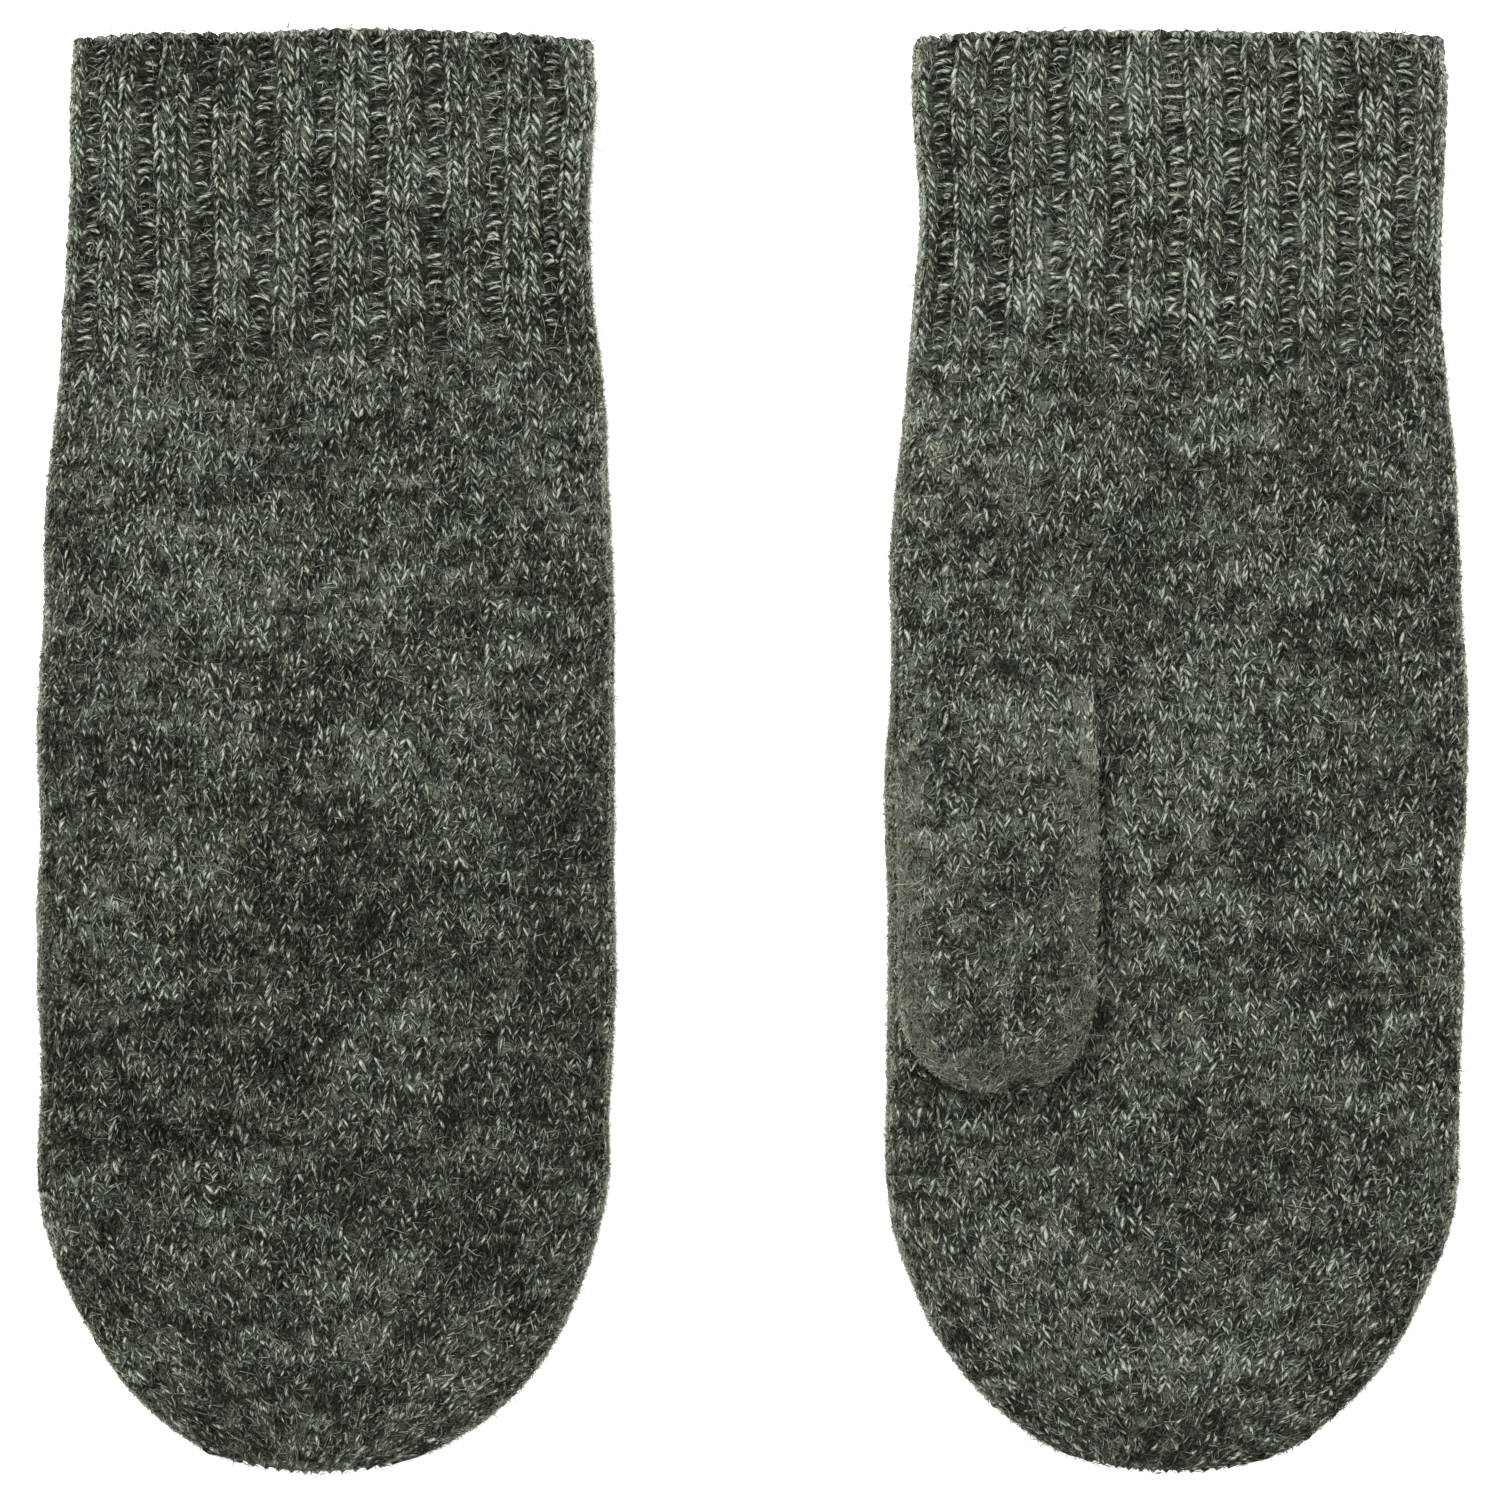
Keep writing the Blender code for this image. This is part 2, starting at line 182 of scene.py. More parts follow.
def straight_half_width(y):
    """Half of the width above the narrowing: a smooth curve through HALF_WIDTHS."""
    ys, widths = np.array(HALF_WIDTHS)[::-1].T
    slopes = np.gradient(widths, ys)
    y = np.clip(y, ys[0], ys[-1])
    k = np.clip(np.searchsorted(ys, y) - 1, 0, len(ys) - 2)
    run = ys[k + 1] - ys[k]
    t = (y - ys[k]) / run
    start = widths[k] * (1 + 2 * t) * (1 - t) ** 2 + slopes[k] * run * t * (1 - t) ** 2
    end = widths[k + 1] * t * t * (3 - 2 * t) - slopes[k + 1] * run * t * t * (1 - t)
    return start + end


def narrowed(y):
    """How far along the fingertip y is, from 0 at its start to 1 at its end."""
    return np.clip((NARROWING_Y - y) / TIP_LENGTH, 0.0, 1.0)


def half_width(y):
    """Half of the mitten's width at y."""
    a, b = TIP_POWERS
    return straight_half_width(y) * (1 - narrowed(y) ** a) ** (1 / b)


def flattened(s):
    """Height of a flattened section at s: 1 over its flat middle, 0 at its edges."""
    s = np.clip(np.abs(s), 0.0, 1.0)
    return np.minimum(1.0, FLAT_GAIN * (1 - s**EDGE_POWER) ** (1 / EDGE_POWER))


def thumb_contact(u, y):
    """1 where the thumb lies against the hand, falling to 0 round it."""
    across = 1 - smooth((u - THUMB_X - THUMB_HALF) / DIP_ACROSS)
    tip = smooth((y - THUMB_TIP_Y + THUMB_HALF + DIP_BELOW_TIP) / DIP_BELOW_TIP)
    root = 1 - smooth((y - THUMB_ROOT_Y - THUMB_HALF) / DIP_ABOVE_ROOT)
    return across * tip * root


def hand_layer(u, y, palm_up):
    """Height of the hand's lower side and its thickness, before its edges round off."""
    contact = thumb_contact(u, y)
    thick = HAND_THICK + (CUFF_THICK - HAND_THICK) * smooth((y - WRIST_Y) / WRIST_Y + 1)
    thick = thick + (PRESSED_THICK - HAND_THICK) * contact
    thick = END_THICK + (thick - END_THICK) * (1 - narrowed(y) ** EDGE_POWER) ** (1 / EDGE_POWER)
    low = 0.0 * contact if palm_up else (THUMB_THICK + GAP) * contact
    return low, thick


def hand_face(u, y, palm_up, side):
    """Height of the hand's upper (+1) or lower (-1) surface."""
    low, thick = hand_layer(u, y, palm_up)
    a, b = TIP_POWERS
    share = ((np.abs(u) / straight_half_width(y)) ** b + narrowed(y) ** a) ** (1 / b)
    return low + thick / 2 + side * thick / 2 * flattened(share)


def shares():
    """Places across a section from its right edge (+1) to its left (-1), crowded at the edges."""
    return np.cos(np.linspace(0, math.pi, 181))


def mouth(y):
    """1 at the mouth of the cuff, falling to 0 a little way in."""
    return 1 - smooth((LENGTH / 2 - y) / MOUTH_FADE)


def row_lines():
    """The (u, y) line of every fine row of the hand, from the mouth of the cuff to the fingertip."""
    s = shares()
    corner = CORNER_DROP * smooth((np.abs(s) - CORNER_START) / (1 - CORNER_START))
    ys = np.concatenate([
        np.linspace(LENGTH / 2 - MOUTH_INSET, WRIST_Y, CUFF_ROWS * FINE + 1)[:-1],
        np.linspace(WRIST_Y, NARROWING_Y, HAND_ROWS * FINE + 1)[:-1],
    ])
    straight = [(half_width(y) * s, y - corner * mouth(y)) for y in ys]
    # In the fingertip a row bows: its ends keep pace along the outline, and its middle along the middle line.
    angle = np.linspace(0, math.pi / 2, 400)
    outline_y = NARROWING_Y - TIP_LENGTH * np.sin(angle) ** 1.3
    outline = np.stack([half_width(outline_y), outline_y], 1)
    outline = outline[outline[:, 0] > CLOSING_HALF]
    run = distances(outline)
    bowed = []
    for t in np.linspace(0, 0.997, TIP_ROWS * FINE + 1):
        edge_x, edge_y = (np.interp(t * run[-1], run, values) for values in outline.T)
        middle_y = NARROWING_Y - TIP_LENGTH * t
        bowed.append((edge_x * s, middle_y + (edge_y - middle_y) * np.abs(s) ** TIP_POWERS[1]))
    return straight + bowed


def round_the_section(upper, lower, count):
    """Points spaced evenly round a section, half of them on each face, from the line of each."""
    ring = []
    for line in (upper, lower[::-1]):
        run = distances(line)
        stops = np.linspace(0, run[-1], count // 2 + 1)[:-1]
        ring.append(np.stack([np.interp(stops, run, line[:, k]) for k in range(3)], 1))
    return np.concatenate(ring)


def ribbing(r):
    """1 in the ribbing, falling to 0 where it gives way to plain knitting at row r."""
    return 1 - smooth((r - CUFF_ROWS + 7.5) / 8.5)


class Fabric:
    """A tube of knitting as a fine grid of points with outward normals, read at any column and row.

    ribbed tells whether it starts with ribbing. felt is how many columns have matted at its folds, and
    end_felt how many rows at its end.
    """

    def __init__(self, rings, columns, rows, ribbed=True, felt=0.8, end_felt=1.0):
        self.columns = columns
        self.rows = rows
        self.ribbed = ribbed
        self.felt = felt
        self.end_felt = end_felt
        self.points = np.array(rings)
        across = np.roll(self.points, -1, 1) - np.roll(self.points, 1, 1)
        down = np.gradient(self.points, axis=0)
        self.normals = unit(np.cross(across, down))

    def at(self, c, r):
        """Position and normal at columns c and rows r."""
        around, down = self.columns * FINE, self.rows * FINE
        k, q = np.mod(c * FINE, around), np.clip(r * FINE, 0, down - 1e-6)
        k0, q0 = np.floor(k).astype(int) % around, np.floor(q).astype(int)
        k1, q1 = (k0 + 1) % around, np.minimum(q0 + 1, down)
        a, b = (k - np.floor(k))[..., None], (q - q0)[..., None]

        def blend(grid):
            top = grid[q0, k0] * (1 - a) + grid[q0, k1] * a
            return top * (1 - b) + (grid[q1, k0] * (1 - a) + grid[q1, k1] * a) * b

        return blend(self.points), unit(blend(self.normals))

    def matted(self, c, r):
        """How far the wool has matted: in irregular patches, at the folds and at the end."""
        place, _ = self.at(c, r)
        patches = 0.48 * smooth(0.42 + 0.7 * wander(place, 2.2 * MM, 31) + 0.35 * wander(place, 7 * MM, 41))
        turn = np.mod(c, self.columns)
        from_fold = np.minimum(np.minimum(turn, self.columns - turn), np.abs(turn - self.columns / 2))
        folds = 1 - smooth(from_fold / self.felt - 0.5)
        end = smooth((r - self.rows) / self.end_felt + 1.5)
        plain = 1 - ribbing(r) if self.ribbed else smooth(r / 12)
        return np.maximum(np.maximum(patches, 0.8 * folds), 0.8 * end) * plain


def settled(fabric, seed):
    """The points of a fabric, moved a little as limp fabric lies."""
    swell = sum(height * wander(fabric.points, size, seed + k) for k, (height, size) in enumerate(SWELLS))
    return fabric.points + fabric.normals * swell[..., None]


def hand_fabric(palm_up, seed):
    """The whole hand of a mitten, from the mouth of the cuff to the fingertip."""
    rings = []
    for u, y in row_lines():
        drawn = NAP_SHARE * (1.0 if palm_up else 1 - DRAW_IN * thumb_contact(u, y))
        wave = wander(np.stack([np.sign(u), y / (14 * MM), 0 * y], 1), 1.0, seed + 13)
        x = axis_x(palm_up) + LEAN * (y - WIDEST_Y) + u * drawn
        x = x + EDGE_WAVE * wave * (u / half_width(y)) ** 2
        y = y + MOUTH_WAVE * mouth(y) * wander(np.stack([x, 0 * x, 0 * x], 1), 18 * MM, seed + 9)
        faces = [np.stack([x, y, hand_face(u, y, palm_up, side)], 1) for side in (1, -1)]
        rings.append(round_the_section(*faces, COLUMNS * FINE))
    return Fabric(settled(Fabric(rings, COLUMNS, ALL_ROWS), seed), COLUMNS, ALL_ROWS)


def thumb_rows(palm_up):
    """How many rows run from the thumb's root to its round tip, and the y where the root leaves the hand."""
    pitch = (WRIST_Y - NARROWING_Y) / HAND_ROWS
    root_y = WRIST_Y - ROOT_ROWS[palm_up] * pitch
    return round((root_y - THUMB_TIP_Y) / pitch), root_y


def thumb_fabric(palm_up, seed):
    """The thumb, rising out of the palm at its root, to lie on the palm if that is up, or else under it."""
    middle_x = axis_x(palm_up) + THUMB_X
    count, root_y = thumb_rows(palm_up)
    s = shares()
    straight = np.linspace(root_y, THUMB_TIP_Y, count * FINE + 1)[:-1]
    lines = [(THUMB_HALF * s, np.full_like(s, y)) for y in straight]
    for t in np.linspace(0, 0.99, THUMB_TIP_ROWS * FINE + 1):
        angle = t * THUMB_CLOSING
        edge_y = THUMB_TIP_Y - THUMB_HALF * math.sin(angle)
        middle_y = THUMB_TIP_Y - THUMB_HALF * t
        lines.append((THUMB_HALF * math.cos(angle) * s, middle_y + (edge_y - middle_y) * s * s))
    rings = []
    for v, y in lines:
        past = np.maximum(THUMB_TIP_Y - y, 0.0) / THUMB_HALF
        thick = END_THICK + (THUMB_THICK - END_THICK) * np.sqrt(np.maximum(1 - past * past, 0.0))
        u = THUMB_X + v
        if palm_up:
            rise = smooth((root_y - y) / (root_y - ROOT_END_Y))
            top = hand_layer(u, y, True)[1] + (GAP + THUMB_THICK / 2 + thick / 2) * rise
            top = top - ROOT_SINK * (1 - smooth((root_y - y) / ROOT_SINK_FADE))
            thick = np.maximum(thick * rise, ROOT_THICK)
            middle = top - thick / 2
        else:
            room = hand_layer(u, y, False)[0]
            thick = np.maximum(np.minimum(thick, room), ROOT_THICK)
            middle = np.maximum(room, thick) / 2
        height = thick / 2 * flattened(np.hypot(v / THUMB_HALF, past))
        x = middle_x + v
        faces = [np.stack([x, y, middle + side * height], 1) for side in (1, -1)]
        rings.append(round_the_section(*faces, THUMB_COLUMNS * FINE))
    rows = count + THUMB_TIP_ROWS
    points = settled(Fabric(rings, THUMB_COLUMNS, rows), seed)
    return Fabric(points, THUMB_COLUMNS, rows, ribbed=False, felt=2.6, end_felt=5.0)


# ---- Yarn, ground and fibres ----

STATIONS = 5  # along each strand
ROUND = np.radians([180.0, 90.0, 0.0])  # points over the top of a strand's half-round section
TWIST = 0.45  # how far plies wind sideways for each unit of length
ALL_PALE = 0.016
SIDE_PAINTED_LIGHT = 0.016  # painted light: how much paler the right mitten is painted, as if more light fell on it, and the left one darker by as much
CUFF_PALE = 0.062
LOW_PALE = 0.026
THUMB_PALE = 0.03  # of the fibres that mat the thumb
GUTTER_PAINTED_SHADE = 0.45  # painted shade: how much darker the ground is painted at the bottom of the gutters
SLOTS = {"yarn": 0, "ground": 1, "fuzz": 2, "haze": 3, "halo": 4}
# Bands of the UV map, by height
BANDS = {
    "yarn": (0.0, 0.74),
    "ground": (0.74, 0.82),
    "fuzz": (0.82, 0.92),
    "haze": (0.92, 0.97),
    "halo": (0.97, 1.0),
}
NAP_BANDS = {"fuzz": (0.0, 0.55), "haze": (0.55, 0.85), "halo": (0.85, 1.0)}
CELL_MARGIN = 0.08
STRAND_CELL = 1.25
STRAND_PLACES = (0.0, 0.45, 0.9, 1.0)  # of the points round a strand, and its first point again
FIBRE_CELL = 2.0
FIBRE_ROUND = np.radians([90.0, 210.0, 330.0])
FIBRE_SIDES = len(FIBRE_ROUND)
FIBRE_STATIONS = np.array([0.0, 0.55, 1.0])  # along a fibre
FIBRE_REACH = 0.6  # how far above the surface it rises at most, in millimetres
GROUND_DEPTH = 0.62 * MM
MATTED_RISE = 0.22 * MM  # how far the ground stands up where the wool has matted
MATTED_DEPTH = 0.42 * MM  # how far the stitches sink into it there


def paleness_and_painted_light(points):
    """How much paler the wool is: the cuffs more, the fingers less, and painted light on the right mitten
    more and the left one less.
    """
    x, y = points[:, 0], points[:, 1]
    along = CUFF_PALE * smooth((y - WRIST_Y) / (16 * MM)) - LOW_PALE * smooth((15 * MM - y) / (55 * MM))
    return ALL_PALE + SIDE_PAINTED_LIGHT * np.sign(x) + along


def placed(name, data):
    """A new object in the scene."""
    made = bpy.data.objects.new(name, data)
    bpy.context.scene.collection.objects.link(made)
    return made


def store(collection, name, values, kind=np.float32):
    """Fills one property of every element of a mesh's collection."""
    collection.foreach_set(name, values.astype(kind).ravel())


class Piece:
    """Gathers the parts of one piece of knitting, then makes its mesh."""

    def __init__(self, bands=None, pale=0.0):
        self.bands = bands or BANDS
        self.pale = pale
        self.count = 0
        self.parts = {"yarn": [], "fuzz": [], "haze": [], "halo": []}
        self.points, self.quads, self.caps, self.yarn = [], [], [], []
        self.quad_uv, self.cap_uv, self.quad_slot, self.cap_slot = [], [], [], []

    def add(self, kind, points, yarn, quads, quad_uv, caps=None, cap_uv=None):
        """Adds points, their yarn coordinates, and quads and triangles numbered from the first point."""
        self.points.append(points.reshape(-1, 3))
        self.yarn.append(yarn.reshape(-1, 3))
        self.quads.append(quads.reshape(-1, 4) + self.count)
        self.quad_uv.append(quad_uv.reshape(-1, 4, 2))
        self.quad_slot.append(np.full(quads.size // 4, SLOTS[kind]))
        if caps is not None:
            self.caps.append(caps.reshape(-1, 3) + self.count)
            self.cap_uv.append(cap_uv.reshape(-1, 3, 2))
            self.cap_slot.append(np.full(caps.size // 3, SLOTS[kind]))
        self.count += points.size // 3

    def make(self, name, materials):
        """Builds the object, with its UV map for the bake and its materials' attributes."""
        points = np.concatenate(self.points)
        quads = np.concatenate(self.quads)
        caps = np.concatenate(self.caps) if self.caps else np.zeros((0, 3), int)
        uv = np.concatenate([q.reshape(-1, 2) for q in self.quad_uv + self.cap_uv])
        slots = np.concatenate(self.quad_slot + self.cap_slot)
        mesh = bpy.data.meshes.new(name)
        mesh.vertices.add(len(points))
        store(mesh.vertices, "co", points)
        mesh.loops.add(quads.size + caps.size)
        store(mesh.loops, "vertex_index", np.concatenate([quads.ravel(), caps.ravel()]), np.int32)
        mesh.polygons.add(len(quads) + len(caps))
        starts = np.concatenate([np.arange(len(quads)) * 4, quads.size + np.arange(len(caps)) * 3])
        store(mesh.polygons, "loop_start", starts, np.int32)
        store(mesh.polygons, "material_index", slots, np.int32)
        store(mesh.uv_layers.new(name="OFBake").data, "uv", uv)
        for label, values in (("yarn", np.concatenate(self.yarn)), ("rest", points / MM)):
            store(mesh.attributes.new(label, "FLOAT_VECTOR", "POINT").data, "vector", values)
        pale = self.pale + paleness_and_painted_light(points)
        store(mesh.attributes.new("pale", "FLOAT", "POINT").data, "value", pale)
        mesh.update(calc_edges=True)
        mesh.shade_smooth()
        for surface in materials:
            mesh.materials.append(surface)
        return placed(name, mesh)


def cells(band, count, shape, *maps):
    """Each map in count equal cells of a band of the UV map. shape is a cell's length over its breadth."""
    low, high = band
    columns = max(1, round(math.sqrt(count * shape / (high - low))))
    rows = math.ceil(count / columns)
    size = np.array([1 / columns, (high - low) / rows])
    index = np.arange(count)
    corner = np.stack([index % columns * size[0], low + index // columns * size[1]], 1) + size * CELL_MARGIN
    return [corner[:, None, None] + uv[None] * (size * (1 - 2 * CELL_MARGIN)) for uv in maps]


def strand_mesh(centre, normal, half, tall, seeds):
    """Points and yarn coordinates of half-round strands along centre lines of (strands, stations, 3)."""
    along = unit(np.gradient(centre, axis=1))
    side = unit(np.cross(normal, along))
    sideways = side[:, :, None] * (half[..., None] * np.cos(ROUND))[..., None]
    upwards = normal[:, :, None] * (tall[..., None] * np.sin(ROUND))[..., None]
    points = centre[:, :, None] + sideways + upwards
    points[..., 2] = np.maximum(points[..., 2], 0.0)
    steps = np.linalg.norm(np.diff(centre, axis=1), axis=2)
    run = np.concatenate([np.zeros((len(centre), 1)), np.cumsum(steps, axis=1)], 1) / MM
    across = (half[..., None] * np.linspace(-1.4, 1.4, len(ROUND))) / MM
    winding = across + TWIST * run[..., None]
    return points, np.stack(np.broadcast_arrays(run[..., None], winding, seeds[:, None, None]), -1)


def strand_faces(count):
    """Quads along each strand and a triangle over each of its ends."""
    around = len(ROUND)
    first = np.arange(STATIONS - 1)[:, None] * around
    k = np.arange(around)[None]
    n = (k + 1) % around
    body = np.stack([first + k, first + around + k, first + around + n, first + n], -1).reshape(-1, 4)
    last = (STATIONS - 1) * around
    ends = np.array([[0, 1, 2], [last + 2, last + 1, last]])
    shift = np.arange(count)[:, None, None] * (STATIONS * around)
    return body[None] + shift, ends[None] + shift


def strand_uv(band, count):
    """UV cells for strands, which go round across a cell and along up it."""
    v = np.linspace(0, 1, STATIONS)
    body = np.array([
        [(a, v[t]), (a, v[t + 1]), (b, v[t + 1]), (b, v[t])]
        for t in range(STATIONS - 1) for a, b in zip(STRAND_PLACES, STRAND_PLACES[1:])
    ])
    ends = np.array([[(a, 0.0) for a in STRAND_PLACES[:-1]], [(a, 1.0) for a in STRAND_PLACES[-2::-1]]])
    return cells(band, count, STRAND_CELL, body, ends)


def add_strands(piece, fabric, c, r, rise, half, tall):
    """Lays strands on a fabric. c, r, rise, half and tall hold a row for each strand, a value per station."""
    if len(c) == 0:
        return
    c, r, rise, half, tall = np.broadcast_arrays(c, r, rise, half, tall)
    centre, normal = fabric.at(c, r)
    seeds = rng.uniform(0, 900, len(c))
    piece.parts["yarn"].append(strand_mesh(centre + normal * rise[..., None], normal, half, tall, seeds))


# How each leg of a stitch runs: columns from the middle at its start and end, then rows at its start and end
PLAIN_LEGS = ((0.06, 0.34, -0.20, 1.20), (-0.02, -0.50, -0.10, 1.12))
RIB_LEGS = ((0.30, 0.40, -0.25, 1.30), (0.16, -0.44, -0.20, 1.40))
PURL_REACH = 0.55  # columns, to each side of its middle
PLAIN_YARN = 0.44 * MM  # half of a strand's width
RIB_YARN = 0.50 * MM
GATHER_YARN = 0.62 * MM
RIB_WIDE = 1.22
RIB_LOOSE = 0.7


def stitch_strands(piece, fabric, c, r, shape=PLAIN_LEGS, wide=1.0, deep=0.0, loose=1.0, yarn=PLAIN_YARN):
    """Two strands for each knit stitch at column c and row r, meeting towards the cuff.

    wide scales its breadth in columns, deep lowers it below the surface, loose scales its unevenness, and
    yarn is half of the strand's width.
    """
    count = len(c)
    deep = deep + MATTED_DEPTH * fabric.matted(c, r + 0.5)[:, None]
    t = np.linspace(0, 1, STATIONS)[None]
    bow = np.sin(math.pi * t) ** 0.6
    body = 0.42 + 0.58 * np.sin(math.pi * np.clip(t * 0.90 + 0.07, 0, 1)) ** 0.8
    for near, far, start, end in shape:
        jitter = rng.normal(0, loose, (7, count, 1))
        start, end = start + 0.18 * jitter[0], end + 0.26 * jitter[1]
        near, far = near + 0.10 * jitter[2], far + 0.15 * jitter[3]
        curve = 0.05 * np.sign(far) * bow
        rows = r[:, None] + start + (end - start) * t
        columns = c[:, None] + wide * (near + (far - near) * t + curve)
        rise = (-0.42 + (0.36 + 0.13 * jitter[4]) * bow) * MM - deep
        half = yarn * np.maximum(1 + 0.22 * jitter[5], 0.4) * body
        tall = (0.60 + 0.08 * jitter[6]) * MM * body
        add_strands(piece, fabric, columns, rows, rise, half, tall)


def purl_strands(piece, fabric, c, r, deep):
    """A short curved bar across a gutter for each purl at column c and row r."""
    t = np.linspace(-1, 1, STATIONS)[None]
    jitter = rng.normal(0, 1, (7, len(c), 1))
    columns = c[:, None] + 0.10 * jitter[5] + PURL_REACH * t * (1 + 0.14 * jitter[4])
    bow = (0.20 + 0.16 * jitter[1]) * (1 - t * t)
    rows = r[:, None] + 0.5 + 0.20 * jitter[0] - bow + (0.14 + 0.22 * jitter[2]) * t
    rise = (-0.40 + 0.32 * (1 - t * t) + 0.15 * jitter[3]) * MM - deep[:, None] * (0.5 + 0.5 * (1 - t * t))
    body = 0.6 + 0.4 * (1 - t * t)
    half = np.maximum(0.50 + 0.08 * jitter[6], 0.2) * MM * body
    add_strands(piece, fabric, columns, rows, rise, half, 0.62 * MM * body)


def corners_of(grid, axis):
    """The four corners of each cell of a grid, stacked along an axis."""
    return np.stack([grid[:-1, :-1], grid[1:, :-1], grid[1:, 1:], grid[:-1, 1:]], axis)


def rim(i, j, back=False):
    """Quads between two lines of point numbers, which face the other way if back."""
    quads = np.stack([i[:-1], i[1:], j[1:], j[:-1]], -1)
    return quads[:, [0, 3, 2, 1]] if back else quads


def add_ground(piece, fabric, columns, rows, wall=WALL, deep=None, solid=False):
    """The felted layer under the stitches: its outer side, its inner side, and rims that close it.

    columns and rows are (first, last). A solid one has flat ends and no inner side.
    """
    c = np.linspace(*columns, round((columns[1] - columns[0]) * 2) + 1)
    closed = columns[1] - columns[0] == fabric.columns
    if closed:
        c = c[:-1]
    r = np.linspace(*rows, max(2, round((rows[1] - rows[0]) * 2)) + 1)
    cc, rr = np.meshgrid(c, r)
    points, normal = fabric.at(cc, rr)
    felt = fabric.matted(cc, rr)
    lowered = deep(cc, rr) if deep else 0.0
    outer = points - normal * (GROUND_DEPTH - MATTED_RISE * felt + lowered)[..., None]
    outer[..., 2] = np.maximum(outer[..., 2], 0.0)
    # Painted shade: the ground's colour is darkened towards the bottom of the gutters, carried in its third
    # yarn coordinate.
    felt = felt - GUTTER_PAINTED_SHADE * lowered / GUTTER_DEPTH
    width, height = len(c), len(r)
    number = np.arange(width * height).reshape(height, width)
    if closed:
        number = np.concatenate([number, number[:, :1]], 1)
    quads = corners_of(number, -1).reshape(-1, 4)
    low, high = BANDS["ground"]
    u, v = np.meshgrid(np.linspace(0, 1, number.shape[1]), np.linspace(low, high, height))
    uv = corners_of(np.stack([u, v], -1), -2).reshape(-1, 4, 2)
    grids, felts = [outer], [felt]
    if solid:
        half = width // 2
        ends = [rim(ring[:half], ring[::-1][:half]) for ring in (number[0, :width], number[-1, :width])]
        faces, maps = [quads], [uv]
        rims = [ends[0], ends[1][:, ::-1]]
    else:
        offset = width * height
        grids.append(points - normal * wall)
        felts.append(0 * felt)
        faces, maps = [quads, quads[:, ::-1] + offset], [uv, uv[:, ::-1]]
        rims = [rim(number[0], number[0] + offset), rim(number[-1], number[-1] + offset, True)]
        if not closed:
            left, right = number[:, 0], number[:, -1]
            rims += [rim(left, left + offset, True), rim(right, right + offset)]
    every = np.concatenate([grid.reshape(-1, 3) for grid in grids])
    matted = np.concatenate([grid.ravel() for grid in felts])
    yarn = np.stack([every[:, 0] / MM, every[:, 1] / MM, matted], 1)
    maps += [np.tile(np.array([[0.5, low]]), (len(ring), 4, 1)) for ring in rims]
    piece.add("ground", every, yarn, np.concatenate(faces + rims), np.concatenate(maps))


def fibre_faces(count):
    """Faces for fibres of two rings and a point each: quads between the rings, triangles to the point."""
    k = np.arange(FIBRE_SIDES)
    n = (k + 1) % FIBRE_SIDES
    body = np.stack([k, k + FIBRE_SIDES, n + FIBRE_SIDES, n], -1)
    end = np.stack([k + FIBRE_SIDES, np.full_like(k, 2 * FIBRE_SIDES), n + FIBRE_SIDES], -1)
    shift = np.arange(count)[:, None, None] * (2 * FIBRE_SIDES + 1)
    return body[None] + shift, end[None] + shift


def fibre_uv(band, count):
    """UV cells for fibres, which go round across a cell and along up it to the point."""
    k = np.arange(FIBRE_SIDES) / FIBRE_SIDES
    n = k + 1 / FIBRE_SIDES
    foot, waist, point = np.zeros_like(k), np.full_like(k, 0.5), np.ones_like(k)
    body = np.stack([np.stack(p, -1) for p in ((k, foot), (k, waist), (n, waist), (n, foot))], 1)
    end = np.stack([np.stack(p, -1) for p in ((k, waist), ((k + n) / 2, point), (n, waist))], 1)
    return cells(band, count, FIBRE_CELL, body, end)


